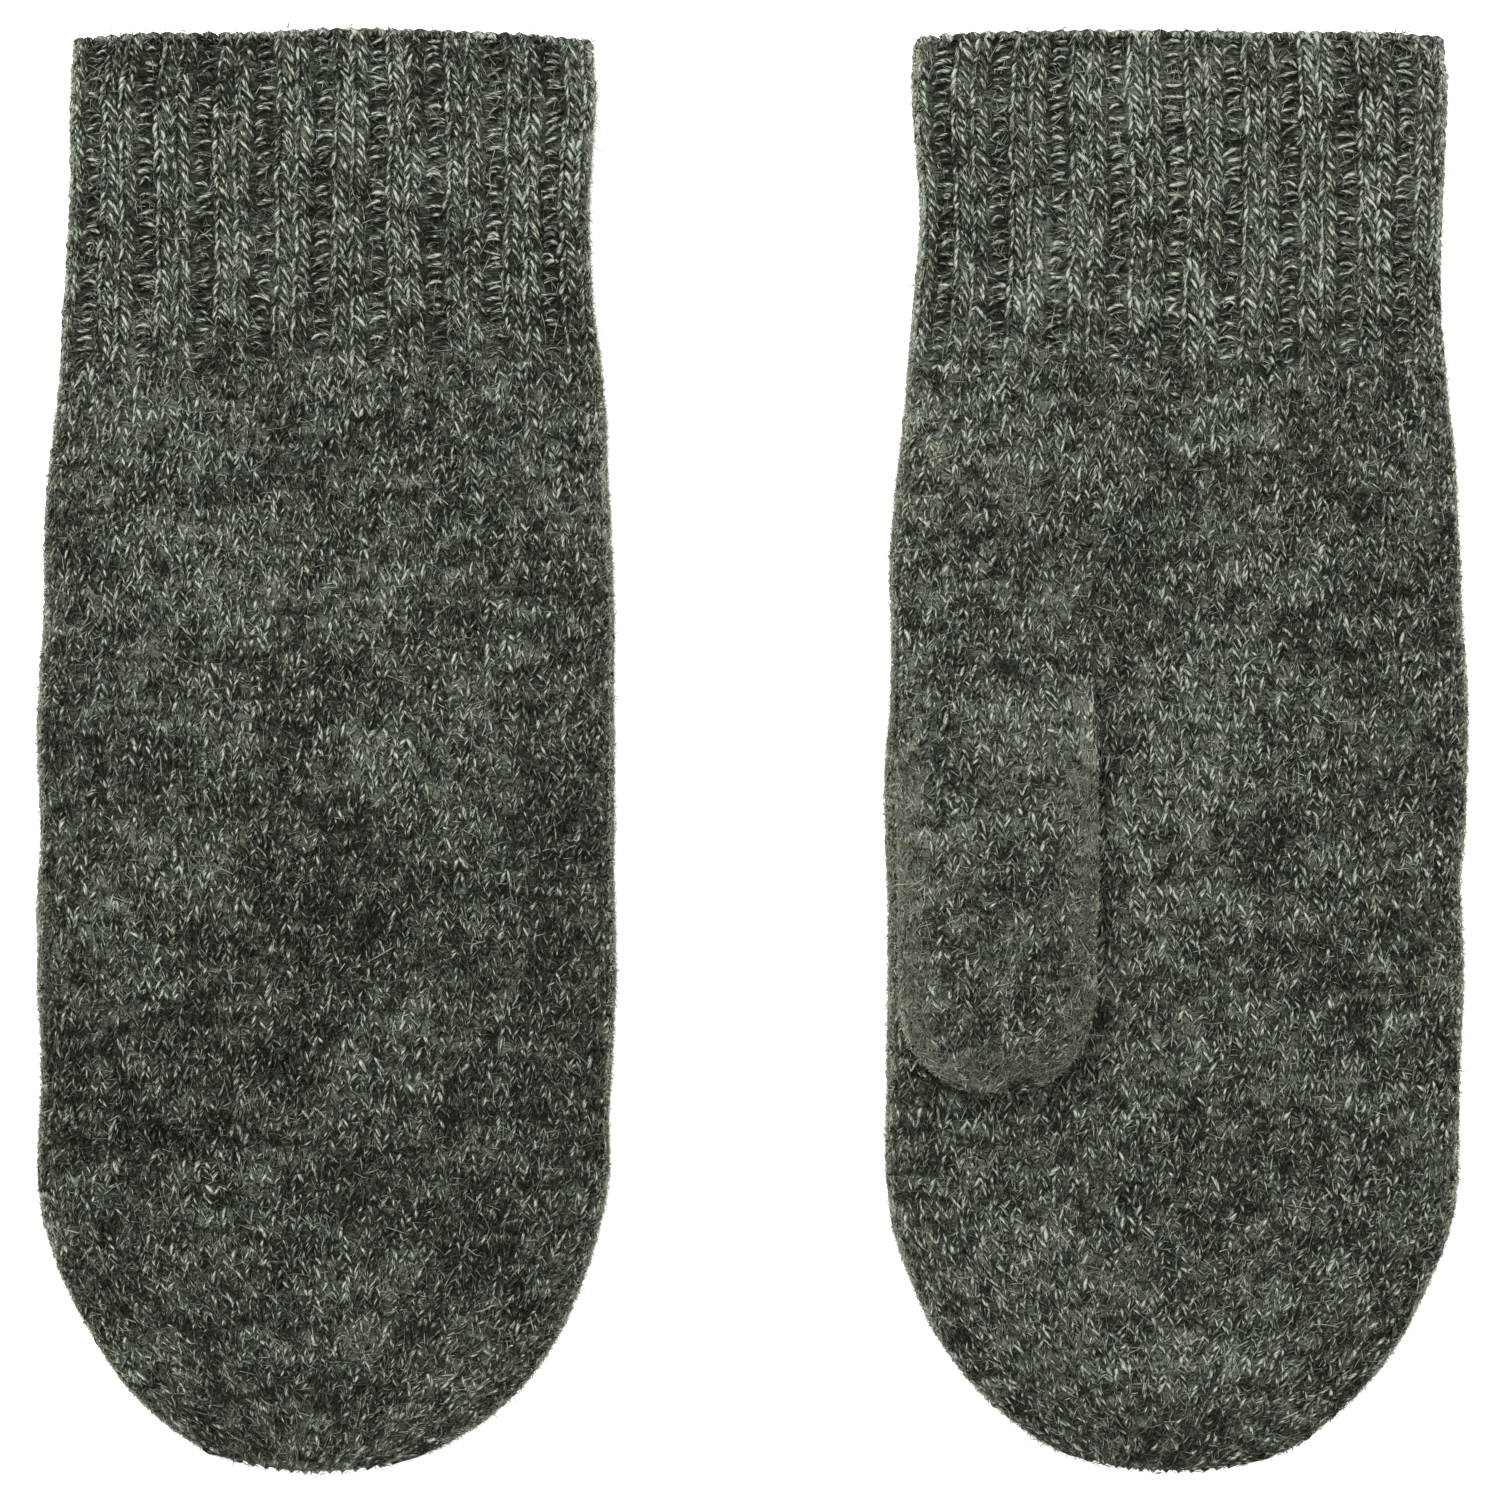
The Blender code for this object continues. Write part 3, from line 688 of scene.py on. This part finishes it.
def add_fuzz(piece, fabric, columns, rows, amount, lift=1.0, deep=None, short=1.0, kind="fuzz", patchy=False):
    """Loose fibres over a patch of fabric: thin tubes that leave the yarn, curl back and taper to a point.

    lift scales how far they stand up, deep lowers them below the surface, and short scales their length.
    Patchy ones lie only where the wool has matted.
    """
    c = rng.uniform(columns[0], columns[1], int(amount))
    r = rng.uniform(rows[0], rows[1], int(amount))
    if patchy:
        kept = rng.uniform(0, 0.8, len(c)) < fabric.matted(c, r) ** 2
        c, r = c[kept], r[kept]
    count = len(c)
    root, normal = fabric.at(c, r)
    down = unit(fabric.at(c, r + 0.05)[0] - root)
    side = np.cross(normal, down)
    angle = rng.normal(0, 0.9, count) + math.pi * rng.integers(0, 2, count)
    way = down * np.cos(angle)[:, None] + side * np.sin(angle)[:, None]
    bend = side * np.cos(angle)[:, None] - down * np.sin(angle)[:, None]
    length = rng.gamma(5.0, 0.50, count) * short * MM
    t = FIBRE_STATIONS[None, :, None]
    hop = (np.minimum(rng.gamma(2.0, 0.14, count), FIBRE_REACH) * lift * MM)[:, None, None]
    curl = (rng.normal(0, 0.30, count) * length)[:, None, None]
    start = (rng.uniform(-0.15, 0.22, count) * MM - (deep(c, r) if deep else 0.0))[:, None, None]
    path = root[:, None] + way[:, None] * length[:, None, None] * t + bend[:, None] * curl * t * t
    path = path + normal[:, None] * (start + hop * np.sin(2.4 * t) - 0.1 * MM * t)
    path[..., 2] = np.maximum(path[..., 2], 0.0)
    along = unit(np.gradient(path, axis=1))
    first = unit(np.cross(along, normal[:, None]))
    second = np.cross(first, along)
    radius = ((0.040 + rng.gamma(1.6, 0.020, count)) * MM)[:, None, None, None]
    radius = radius * (1 - 0.5 * t[:, :2])[..., None]
    sine, cosine = np.sin(FIBRE_ROUND)[:, None], np.cos(FIBRE_ROUND)[:, None]
    ring = second[:, :2, None] * sine - first[:, :2, None] * cosine
    rings = (path[:, :2, None] + ring * radius).reshape(count, 2 * FIBRE_SIDES, 3)
    points = np.concatenate([rings, path[:, 2:]], 1)
    run = length[:, None] * np.repeat(FIBRE_STATIONS, (FIBRE_SIDES, FIBRE_SIDES, 1)) / MM
    turn = np.append(np.tile(np.arange(FIBRE_SIDES), 2), 0) * 0.1
    seeds = rng.uniform(0, 900, count)[:, None]
    yarn = np.stack(np.broadcast_arrays(run, turn, seeds), -1)
    piece.parts[kind].append((points, yarn))


def lay(piece):
    """Adds a piece's strands and fibres, each kind at once, to share its band of the UV map evenly."""
    for kind, parts in piece.parts.items():
        if parts:
            points, yarn = (np.concatenate(values) for values in zip(*parts))
            faces, cells_for = (strand_faces, strand_uv) if kind == "yarn" else (fibre_faces, fibre_uv)
            quads, ends = faces(len(points))
            quad_uv, end_uv = cells_for(piece.bands[kind], len(points))
            piece.add(kind, points, yarn, quads, quad_uv, ends, end_uv)


# ---- Materials ----

def node(tree, kind, **settings):
    """A new shader node with the given settings."""
    made = tree.nodes.new(kind)
    for name, value in settings.items():
        setattr(made, name, value)
    return made


def put(made, values):
    """Sets the named inputs of a shader node."""
    for name, value in values.items():
        made.inputs[name].default_value = value


def noise(tree, vector, scale, detail=2.0):
    """A noise texture's value over a vector that is scaled axis by axis."""
    stretch = node(tree, "ShaderNodeVectorMath", operation="MULTIPLY")
    stretch.inputs[1].default_value = scale
    tree.links.new(vector, stretch.inputs[0])
    texture = node(tree, "ShaderNodeTexNoise", noise_dimensions="3D")
    put(texture, {"Scale": 1.0, "Detail": detail, "Roughness": 0.6})
    tree.links.new(stretch.outputs[0], texture.inputs["Vector"])
    return texture.outputs["Fac"]


def combined(tree, values, weights, offset=0.0):
    """The weighted sum of several values."""
    total = None
    for value, weight in zip(values, weights):
        step = node(tree, "ShaderNodeMath", operation="MULTIPLY_ADD")
        tree.links.new(value, step.inputs[0])
        step.inputs[1].default_value = weight
        if total is None:
            step.inputs[2].default_value = offset
        else:
            tree.links.new(total, step.inputs[2])
        total = step.outputs[0]
    return total


WARM = (1.08, 1.0, 0.94)  # the wool's tints, from brownish to bluish
COOL = (0.94, 1.0, 1.07)
BLOTCHES = 0.68  # weight of the shades that change over a few millimetres
CLOUDS = 0.30  # and of those that change over a few centimetres


def heather(name, stops, streak, ply, own, bump, felt=0.0):
    """Greenish-grey wool spun from dark and light fibres.

    stops are (value, colour) pairs of its colour ramp. streak, ply and own weigh the light streaks along the
    yarn, the fine plies across it, and each strand's own shade. bump is the depth of the plies. felt weighs
    the third yarn coordinate, which says in the ground how far it has matted, less the painted shade at the
    bottom of the gutters.
    """
    surface = bpy.data.materials.new(name)
    surface.use_nodes = True
    tree = surface.node_tree
    shader = tree.nodes["Principled BSDF"]
    yarn = node(tree, "ShaderNodeAttribute", attribute_name="yarn").outputs["Vector"]
    rest = node(tree, "ShaderNodeAttribute", attribute_name="rest").outputs["Vector"]
    streaks = noise(tree, yarn, (1 / 1.4, 1 / 0.46, 1.0), 1.5)
    plies = noise(tree, yarn, (1 / 1.3, 1 / 0.15, 1.0), 1.0)
    shade = noise(tree, yarn, (0.03, 0.03, 7.3), 0.0)
    blotches = noise(tree, rest, (1 / 4.5, 1 / 3.0, 1 / 4.5), 2.0)
    clouds = noise(tree, rest, (1 / 26.0, 1 / 18.0, 1 / 26.0), 1.0)
    weights = (streak, ply, own, BLOTCHES, CLOUDS)
    level = combined(tree, (streaks, plies, shade, blotches, clouds), weights, 0.5 - 0.5 * sum(weights))
    # The pale attribute lightens or darkens the wool: its own tone on the cuffs, fingers and thumb, and
    # painted light on the two mittens.
    pale = node(tree, "ShaderNodeAttribute", attribute_name="pale").outputs["Fac"]
    third = node(tree, "ShaderNodeSeparateXYZ")
    tree.links.new(yarn, third.inputs[0])
    level = combined(tree, (level, pale, third.outputs["Z"]), (1.0, 1.0, felt))
    ramp = node(tree, "ShaderNodeValToRGB")
    ramp.color_ramp.interpolation = "EASE"
    hue = noise(tree, rest, (1 / 4.0, 1 / 4.0, 1 / 4.0), 2.0)
    tint = node(tree, "ShaderNodeMix", data_type="RGBA", blend_type="MIX")
    tree.links.new(combined(tree, (hue, shade), (1.6, 0.6), -0.6), tint.inputs["Factor"])
    put(tint, {"A": (*WARM, 1), "B": (*COOL, 1)})
    dyed = node(tree, "ShaderNodeMix", data_type="RGBA", blend_type="MULTIPLY")
    dyed.inputs["Factor"].default_value = 1.0
    while len(ramp.color_ramp.elements) < len(stops):
        ramp.color_ramp.elements.new(0.5)
    for element, (place, colour) in zip(ramp.color_ramp.elements, stops):
        element.position = place
        element.color = (*colour, 1)
    tree.links.new(level, ramp.inputs["Fac"])
    tree.links.new(ramp.outputs["Color"], dyed.inputs["A"])
    tree.links.new(tint.outputs["Result"], dyed.inputs["B"])
    tree.links.new(dyed.outputs["Result"], shader.inputs["Base Color"])
    roughness = combined(tree, (plies,), (0.25,), 0.72)
    tree.links.new(roughness, shader.inputs["Roughness"])
    height = combined(tree, (streaks, plies), (0.6, 0.5))
    bumps = node(tree, "ShaderNodeBump")
    put(bumps, {"Strength": 0.8, "Distance": bump})
    tree.links.new(height, bumps.inputs["Height"])
    tree.links.new(bumps.outputs["Normal"], shader.inputs["Normal"])
    put(shader, {"Sheen Weight": 0.02, "Sheen Roughness": 0.55, "Sheen Tint": (0.78, 0.84, 0.74, 1)})
    put(shader, {"Specular IOR Level": 0.05})
    return surface


def tinted(value):
    """The wool's greenish grey at a brightness: olive in its darks, and paler as it lightens."""
    pale = smooth(value / 0.2)
    return ((0.82 + 0.08 * pale) * value, value, (0.69 + 0.13 * pale) * value)


def browned(value):
    """The matted wool's browner grey at a brightness."""
    return (0.96 * value, value, 0.75 * value)


YARN = heather(
    "heather_yarn",
    ((0.22, tinted(0.0035)), (0.42, tinted(0.0150)), (0.58, tinted(0.070)), (0.84, tinted(0.25))),
    1.7, 0.8, 0.6, 0.16 * MM,
)
# Painted shade: the felted ground is the wool painted darker than the yarn, for the shade between the
# stitches; where it has matted it turns paler and browner, as matted wool is.
GROUND_WITH_PAINTED_SHADE = heather(
    "felted_ground_painted_shade",
    ((0.30, tinted(0.003)), (0.50, tinted(0.012)), (0.72, tinted(0.060)), (0.95, browned(0.12))),
    0.8, 0.5, 0.0, 0.25 * MM, 0.28,
)
FUZZ = heather(
    "loose_fibres",
    ((0.28, tinted(0.010)), (0.52, tinted(0.052)), (0.78, tinted(0.22))),
    0.2, 0.1, 1.8, 0.02 * MM,
)
HAZE = heather(
    "matted_fibres",
    ((0.25, browned(0.028)), (0.52, browned(0.080)), (0.80, browned(0.20))),
    0.2, 0.1, 1.3, 0.02 * MM,
)
# Painted light: the fibres at the very edge are painted paler than the wool's own fibres, for the light that
# the fuzz catches there; their brown tint is the matted wool's.
HALO_PAINTED_LIGHT = heather(
    "edge_fibres_painted_light",
    ((0.25, browned(0.13)), (0.52, browned(0.22)), (0.80, browned(0.36))),
    0.2, 0.1, 1.3, 0.02 * MM,
)
MATERIALS = (YARN, GROUND_WITH_PAINTED_SHADE, FUZZ, HAZE, HALO_PAINTED_LIGHT)


# ---- The pieces of one mitten ----

FUZZ_PER_STITCH = 5.5
HAZE_LENGTH = 0.55
HALO_PER_STITCH = 34.0  # fibres that stand out at the very edge
HALO_COLUMNS = 0.9
HALO_LENGTH = 0.34
CLEAR_COLUMNS = 1.0  # kept free of long fibres beside a fold
HIDDEN_FUZZ_PER_STITCH = 2.0  # on the side that lies down
FOLD_FUZZ_PER_STITCH = 12.0  # short fibres at the sides, where the fabric folds under
FOLD_COLUMNS = 1.6
FOLD_LENGTH = 0.45  # of the fibres there, as a share of the others
HAZE_PER_STITCH = 9.0  # short fibres where the wool has matted
THUMB_HAZE_PER_STITCH = 30.0
THUMB_HALO = 0.4  # of its folds' fibres, as a share of the hand's
CUFF_FUZZ_PER_STITCH = 3.2
BEND_ROWS = (5, 4)  # before and after the end of the cuff or the hand, for the band pieces there
NARROW_PITCH = 2.9 * MM  # of the stitches in rows that get shorter
NARROW_SPAN = 3  # rows with the same number of stitches there
EDGE_FUZZ = 14  # fibres for each loop of the cast-on edge
GATHERS = 28  # stitches that the closing yarn goes through
GATHER_FUZZ = 700
THUMB_GATHERS = 12
THUMB_GATHER_FUZZ = 260
ROOT_MARGIN = 1.2 * MM  # of palm that goes on under the edge of the thumb's root
ROOT_CLEAR_Y = 3 * MM  # where the palm goes on under the thumb itself


def rib_column(k):
    """Centre of the kth knit column of the ribbing, two to each rib."""
    return RIB_PHASE + RIB_PERIOD * (k // 2) + np.where(k % 2 == 0, 1.36, 2.64)


def gutter(c, r):
    """How deep the ribbing's gutters lie."""
    from_middle = np.abs(np.mod(c - RIB_PHASE + RIB_PERIOD / 2, RIB_PERIOD) - RIB_PERIOD / 2)
    return GUTTER_DEPTH * (1 - smooth((from_middle - 0.25) / 0.75)) * ribbing(r)


def stitches_at(fabric, columns, rows, keep=None):
    """Columns and rows of a grid, moved a little as hand knitting leaves them. keep says which to take."""
    c, r = (grid.ravel().astype(float) for grid in np.meshgrid(columns, rows))
    if keep is not None:
        held = keep(fabric.at(c, r + 0.5)[0], c)
        c, r = c[held], r[held]
    place, _ = fabric.at(c, r)
    return c + 0.16 * wander(place, 15 * MM, 11), r + 0.34 * wander(place, 11 * MM, 16)


def rib_stitches(piece, fabric, rows):
    """Ribbing over a span of rows: pairs of knit columns, with a ladder of purls between them."""
    c, r = stitches_at(fabric, rib_column(np.arange(2 * COLUMNS // RIB_PERIOD)), np.arange(*rows))
    r = np.maximum(r, rows[0])
    deep = gutter(c, r)[:, None] / 2
    stitch_strands(piece, fabric, c, r, RIB_LEGS, RIB_WIDE, deep, RIB_LOOSE, RIB_YARN)
    c, r = stitches_at(fabric, RIB_PHASE + np.arange(0, COLUMNS, RIB_PERIOD), np.arange(*rows))
    purl_strands(piece, fabric, c, r, gutter(c, r))


def plain_stitches(piece, fabric, columns, rows, keep=None):
    """Plain knitting over columns and rows. keep says which stitches to lay."""
    c, r = stitches_at(fabric, np.arange(*columns) + RIB_PHASE % 1, np.arange(*rows), keep)
    stitch_strands(piece, fabric, c, r)


def narrowing_stitches(piece, fabric, rows, span=NARROW_SPAN):
    """Plain knitting that narrows to the end of a tube: each span of rows has fewer stitches."""
    for start in range(rows[0], rows[1], span):
        stop = min(start + span, rows[1])
        ring, _ = fabric.at(np.linspace(0, fabric.columns, 200), np.full(200, (start + stop) / 2))
        girth = np.linalg.norm(np.diff(ring, axis=0), axis=1).sum()
        count = min(fabric.columns, max(4, 2 * round(girth / NARROW_PITCH / 2)))
        scale = fabric.columns / count
        c, r = stitches_at(fabric, (np.arange(count) + 0.5) * scale, np.arange(start, stop))
        stitch_strands(piece, fabric, c, r, wide=scale)


def edge_loops(piece, fabric):
    """A loop of yarn for each column, from the outside over the lip to the inside."""
    bend = 0.95 * MM
    c = np.arange(COLUMNS) + RIB_PHASE % 1 + rng.normal(0, 0.06, COLUMNS)
    for slant, reach in ((0.9, 1.0), (-0.6, 0.82)):
        t = np.linspace(-0.12, 0.80, STATIONS)[None]
        angle = math.pi * t
        columns = c[:, None] + slant * (t - 0.3)
        place, normal = fabric.at(columns, np.full_like(columns, 0.9))
        up = np.array([0.0, 1.0, 0.0])
        out = normal - up * (normal @ up)[..., None]
        lift = reach * (1 + 0.12 * rng.normal(0, 1, (COLUMNS, 1, 1)))
        centre = place + out * (bend * (np.cos(angle) - 1.25))[..., None]
        centre = centre + up * (bend * 0.7 * np.sin(angle)[..., None] * lift - 0.1 * MM)
        facing = out * np.cos(angle)[..., None] + up * np.sin(angle)[..., None]
        half, tall = np.full(columns.shape, 0.78 * MM), np.full(columns.shape, 0.60 * MM)
        piece.parts["yarn"].append(strand_mesh(centre, facing, half, tall, rng.uniform(0, 900, COLUMNS)))


def gathered_end(piece, fabric, row, count):
    """Yarn drawn through the last stitches: short strands that fold over the end of the tube."""
    t = np.linspace(0, 1, STATIONS)[None]
    c = (np.arange(count) + 0.5)[:, None] * fabric.columns / count
    columns = c + 0.9 * t * fabric.columns / count
    rows = row + (fabric.rows - row) * np.minimum(t * 1.05, 1.0)
    rise = (-0.45 + 0.35 * np.sin(math.pi * t)) * MM
    add_strands(piece, fabric, columns, rows, rise, GATHER_YARN, GATHER_YARN)


def finished(piece, name, slot, *nodes):
    """The piece's object, with the CAD nodes that it stands for hidden. slot is not used."""
    lay(piece)
    made = piece.make(name, MATERIALS)
    if nodes:
        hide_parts(*nodes)
    return made


def felted(piece, fabric, rows, faces=(0, 1), deep=None, haze=HAZE_PER_STITCH, fuzz=FUZZ_PER_STITCH):
    """Loose fibres on rows of a flat tube: its upper face (0), and its lower one with the folds (1).

    fuzz is how many there are for each stitch, and haze how many short ones mat each matted stitch.
    """
    half = fabric.columns / 2
    down = rows[1] - rows[0]
    if 0 in faces:
        span = (CLEAR_COLUMNS, half - CLEAR_COLUMNS)
        add_fuzz(piece, fabric, span, rows, half * down * fuzz, 1.0, deep)
        add_fuzz(piece, fabric, (0, half), rows, half * down * haze, 1.0, deep, HAZE_LENGTH, "haze", True)
    if 1 in faces:
        span = (half + CLEAR_COLUMNS, 2 * half - CLEAR_COLUMNS)
        add_fuzz(piece, fabric, span, rows, half * down * HIDDEN_FUZZ_PER_STITCH, 1.0, deep)
        for fold in (0, half):
            span = (fold - FOLD_COLUMNS, fold + FOLD_COLUMNS)
            amount = 2 * FOLD_COLUMNS * down * FOLD_FUZZ_PER_STITCH
            add_fuzz(piece, fabric, span, rows, amount, 0.8, deep, FOLD_LENGTH, "haze")
            span = (fold - HALO_COLUMNS, fold + HALO_COLUMNS)
            amount = 2 * HALO_COLUMNS * down * HALO_PER_STITCH * (1.0 if fabric.ribbed else THUMB_HALO)
            add_fuzz(piece, fabric, span, rows, amount, 1.3, deep, HALO_LENGTH, "halo")


def nap(name, body, slot, fabric, rows, pale=0.0, **felting):
    """A piece of loose fibres alone, felted as told."""
    piece = Piece(NAP_BANDS, pale)
    felted(piece, fabric, rows, **felting)
    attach(finished(piece, f"{name}_nap", slot), body)


def gather_piece(name, body, fabric, row, close, count, fuzz):
    """The gathered yarn from a row on, and the ground and fibres that close a tube from row close."""
    gather = Piece()
    gathered_end(gather, fabric, row, count)
    around = (0, fabric.columns)
    add_ground(gather, fabric, around, (close - 0.5, fabric.rows), solid=True)
    add_fuzz(gather, fabric, around, (close - 1, fabric.rows), fuzz, 0.8, short=FOLD_LENGTH)
    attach(finished(gather, f"{name}_gather", "seam_yarn", f"{name}_closure"), body)


def bend_at(made, fabric, near, far):
    """Bakes a piece's transform into its mesh. It finds the points at two rows of the fabric, but does not
    use them.
    """
    near, far = (fabric.at(np.array(COLUMNS / 4), np.array(float(row)))[0] for row in (near, far))
    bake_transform(made)


def cuff_pieces(side, fabric):
    """The cast-on edge, the ribbed cuff, and the wrist where the ribbing gives way to plain knitting. Returns
    the wrist's last row.
    """
    body = f"{side}_cuff"
    edge = Piece()
    edge_loops(edge, fabric)
    add_ground(edge, fabric, (0, COLUMNS), (0.7, 1.7), wall=EDGE_WALL, deep=gutter)
    add_fuzz(edge, fabric, (0, COLUMNS), (0.1, 1.6), COLUMNS * EDGE_FUZZ, 1.2, short=FOLD_LENGTH)
    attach(finished(edge, f"{side}_cast_on_edge", "rib_knit", f"{side}_cuff_edge"), body)

    fold, last = CUFF_ROWS - BEND_ROWS[0], CUFF_ROWS + BEND_ROWS[1]
    cuff = Piece()
    rib_stitches(cuff, fabric, (1, fold))
    add_ground(cuff, fabric, (0, COLUMNS), (1.4, fold), deep=gutter)
    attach(finished(cuff, f"{side}_ribbed_cuff", "rib_knit", f"{side}_cuff"), body)
    nap(f"{side}_cuff", body, "rib_knit", fabric, (1, fold), deep=gutter, fuzz=CUFF_FUZZ_PER_STITCH)

    wrist = Piece()
    rib_stitches(wrist, fabric, (fold, CUFF_ROWS - 1))
    plain_stitches(wrist, fabric, (0, COLUMNS), (CUFF_ROWS - 1, last))
    add_ground(wrist, fabric, (0, COLUMNS), (fold, last), deep=gutter)
    felted(wrist, fabric, (fold, last), deep=gutter)
    bend_at(finished(wrist, f"{side}_wrist", "plain_knit"), fabric, last, fold)
    return last


def hand_pieces(side, fabric, first, palm_up):
    """The two faces of the hand, and the band where it starts to narrow to the fingertip. Returns the band's
    last row.
    """
    body = f"{side}_hand"
    half = COLUMNS // 2
    fold, last = HAND_END - BEND_ROWS[0], HAND_END + BEND_ROWS[1]
    _, root_y = thumb_rows(palm_up)
    middle_x = axis_x(palm_up) + THUMB_X

    def clear_of_root(place, c):
        """True outside the stretch of palm that the thumb's root covers."""
        inside = np.abs(place[:, 0] - middle_x) < THUMB_HALF - ROOT_MARGIN
        covered = inside & (place[:, 1] < root_y) & (place[:, 1] > ROOT_CLEAR_Y)
        on_palm = (c < half) == palm_up
        return ~(covered & on_palm)

    for face, name in enumerate(("palm", "back") if palm_up else ("back", "palm")):
        columns = (face * half, face * half + half)
        piece = Piece()
        plain_stitches(piece, fabric, columns, (first, fold), clear_of_root)
        add_ground(piece, fabric, columns, (first, fold))
        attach(finished(piece, f"{side}_{name}", "plain_knit", body), body)
        nap(f"{side}_{name}", body, "plain_knit", fabric, (first, fold), faces=(face,))

    band = Piece()
    plain_stitches(band, fabric, (0, COLUMNS), (fold, HAND_END))
    narrowing_stitches(band, fabric, (HAND_END, last), span=BEND_ROWS[1])
    add_ground(band, fabric, (0, COLUMNS), (fold, last))
    felted(band, fabric, (fold, last))
    bend_at(finished(band, f"{side}_finger_fold", "plain_knit"), fabric, fold, last)
    return last


def tip_pieces(side, fabric, first):
    """The narrowed fingertip and the gathered yarn that closes it."""
    body = f"{side}_fingers"
    close = ALL_ROWS - 2
    tip = Piece()
    narrowing_stitches(tip, fabric, (first, close))
    add_ground(tip, fabric, (0, COLUMNS), (first, close), wall=TIP_WALL)
    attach(finished(tip, f"{side}_fingertip_knit", "plain_knit", f"{side}_fingertip"), body)
    nap(f"{side}_fingertip", body, "plain_knit", fabric, (first, close))
    gather_piece(f"{side}_fingertip", body, fabric, close - 1, close, GATHERS, GATHER_FUZZ)


def thumb_pieces(side, palm_up, seed):
    """The thumb's root, its tube, its tip and the gathered yarn at the end."""
    body = f"{side}_thumb"
    fabric = thumb_fabric(palm_up, seed)
    count, root_y = thumb_rows(palm_up)
    half = THUMB_COLUMNS // 2
    turn = round((root_y - ROOT_END_Y) / (root_y - THUMB_TIP_Y) * count)
    close = fabric.rows - 1.5
    everywhere = (0, THUMB_COLUMNS)

    root = Piece()
    outside = (-2, half + 2) if palm_up else (half - 2, THUMB_COLUMNS + 2)
    plain_stitches(root, fabric, outside, (0, turn))
    add_ground(root, fabric, everywhere, (0, turn), solid=True)
    add_fuzz(root, fabric, outside, (0, turn), (outside[1] - outside[0]) * turn * 1.3 * FUZZ_PER_STITCH)
    made = finished(root, f"{side}_thumb_root", "plain_knit", f"{side}_thumb_seam")
    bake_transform(made)

    tube = Piece()
    plain_stitches(tube, fabric, everywhere, (turn, count))
    add_ground(tube, fabric, everywhere, (turn, count), solid=True)
    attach(finished(tube, f"{side}_thumb_knit", "plain_knit", f"{side}_thumb"), body)

    tip = Piece()
    narrowing_stitches(tip, fabric, (count, fabric.rows - 1))
    add_ground(tip, fabric, everywhere, (count, close), solid=True)
    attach(finished(tip, f"{side}_thumb_tip_knit", "plain_knit", f"{side}_thumb_tip"), body)
    nap(f"{side}_thumb", body, "plain_knit", fabric, (turn, close), THUMB_PALE, haze=THUMB_HAZE_PER_STITCH)

    gather_piece(f"{side}_thumb", body, fabric, close - 0.5, close, THUMB_GATHERS, THUMB_GATHER_FUZZ)


# ---- Camera, floor and light ----

def camera():
    """Straight above the pair, as the photograph looks down on it."""
    field = 279.9 * MM
    lens = bpy.data.cameras.new("camera")
    lens.lens = 100
    lens.sensor_width = 36
    seat = placed("camera", lens)
    distance = field / 2 / math.tan(math.atan(lens.sensor_width / 2 / lens.lens))
    seat.location = ((CAD_LOW.x + CAD_HIGH.x) / 2, (CAD_LOW.y + CAD_HIGH.y) / 2, HAND_THICK / 2 + distance)
    bpy.context.scene.camera = seat


def floor():
    """A plain pale floor."""
    size = 6.0
    drop = 0.4 * MM
    corners = [(-size, -size, -drop), (size, -size, -drop), (size, size, -drop), (-size, size, -drop)]
    mesh = bpy.data.meshes.new("floor")
    mesh.from_pydata(corners, [], [(0, 1, 2, 3)])
    paper = bpy.data.materials.new("white_paper")
    paper.use_nodes = True
    shader = paper.node_tree.nodes["Principled BSDF"]
    put(shader, {"Base Color": (0.93, 0.93, 0.93, 1), "Roughness": 0.9, "Specular IOR Level": 0.1})
    mesh.materials.append(paper)
    placed("floor", mesh)


def softbox(name, place, size, power):
    """A large soft light aimed at the middle of the pair."""
    lamp = bpy.data.lights.new(name, "AREA")
    lamp.shape = "DISK"
    lamp.size = size
    lamp.energy = power
    made = placed(name, lamp)
    made.location = place
    made.rotation_euler = (-Vector(place)).to_track_quat("-Z", "Y").to_euler()
    made.visible_camera = False


def studio():
    """Soft light from above, stronger from the upper left, and an even pale surround."""
    softbox("key_softbox", (-0.6, 0.85, 1.25), 0.7, 47)
    softbox("overhead_softbox", (0.45, -0.1, 1.9), 1.6, 40)
    world = bpy.data.worlds.new("surround")
    world.use_nodes = True
    put(world.node_tree.nodes["Background"], {"Color": (1.0, 1.0, 1.0, 1), "Strength": 0.66})
    bpy.context.scene.world = world
    bpy.context.scene.view_settings.view_transform = "Standard"


camera()
floor()
studio()
for side, palm_up in (("left", False), ("right", True)):
    seed = 3 if palm_up else 17
    hand = hand_fabric(palm_up, seed)
    wrist_end = cuff_pieces(side, hand)
    fingers_start = hand_pieces(side, hand, wrist_end, palm_up)
    tip_pieces(side, hand, fingers_start)
    thumb_pieces(side, palm_up, seed)
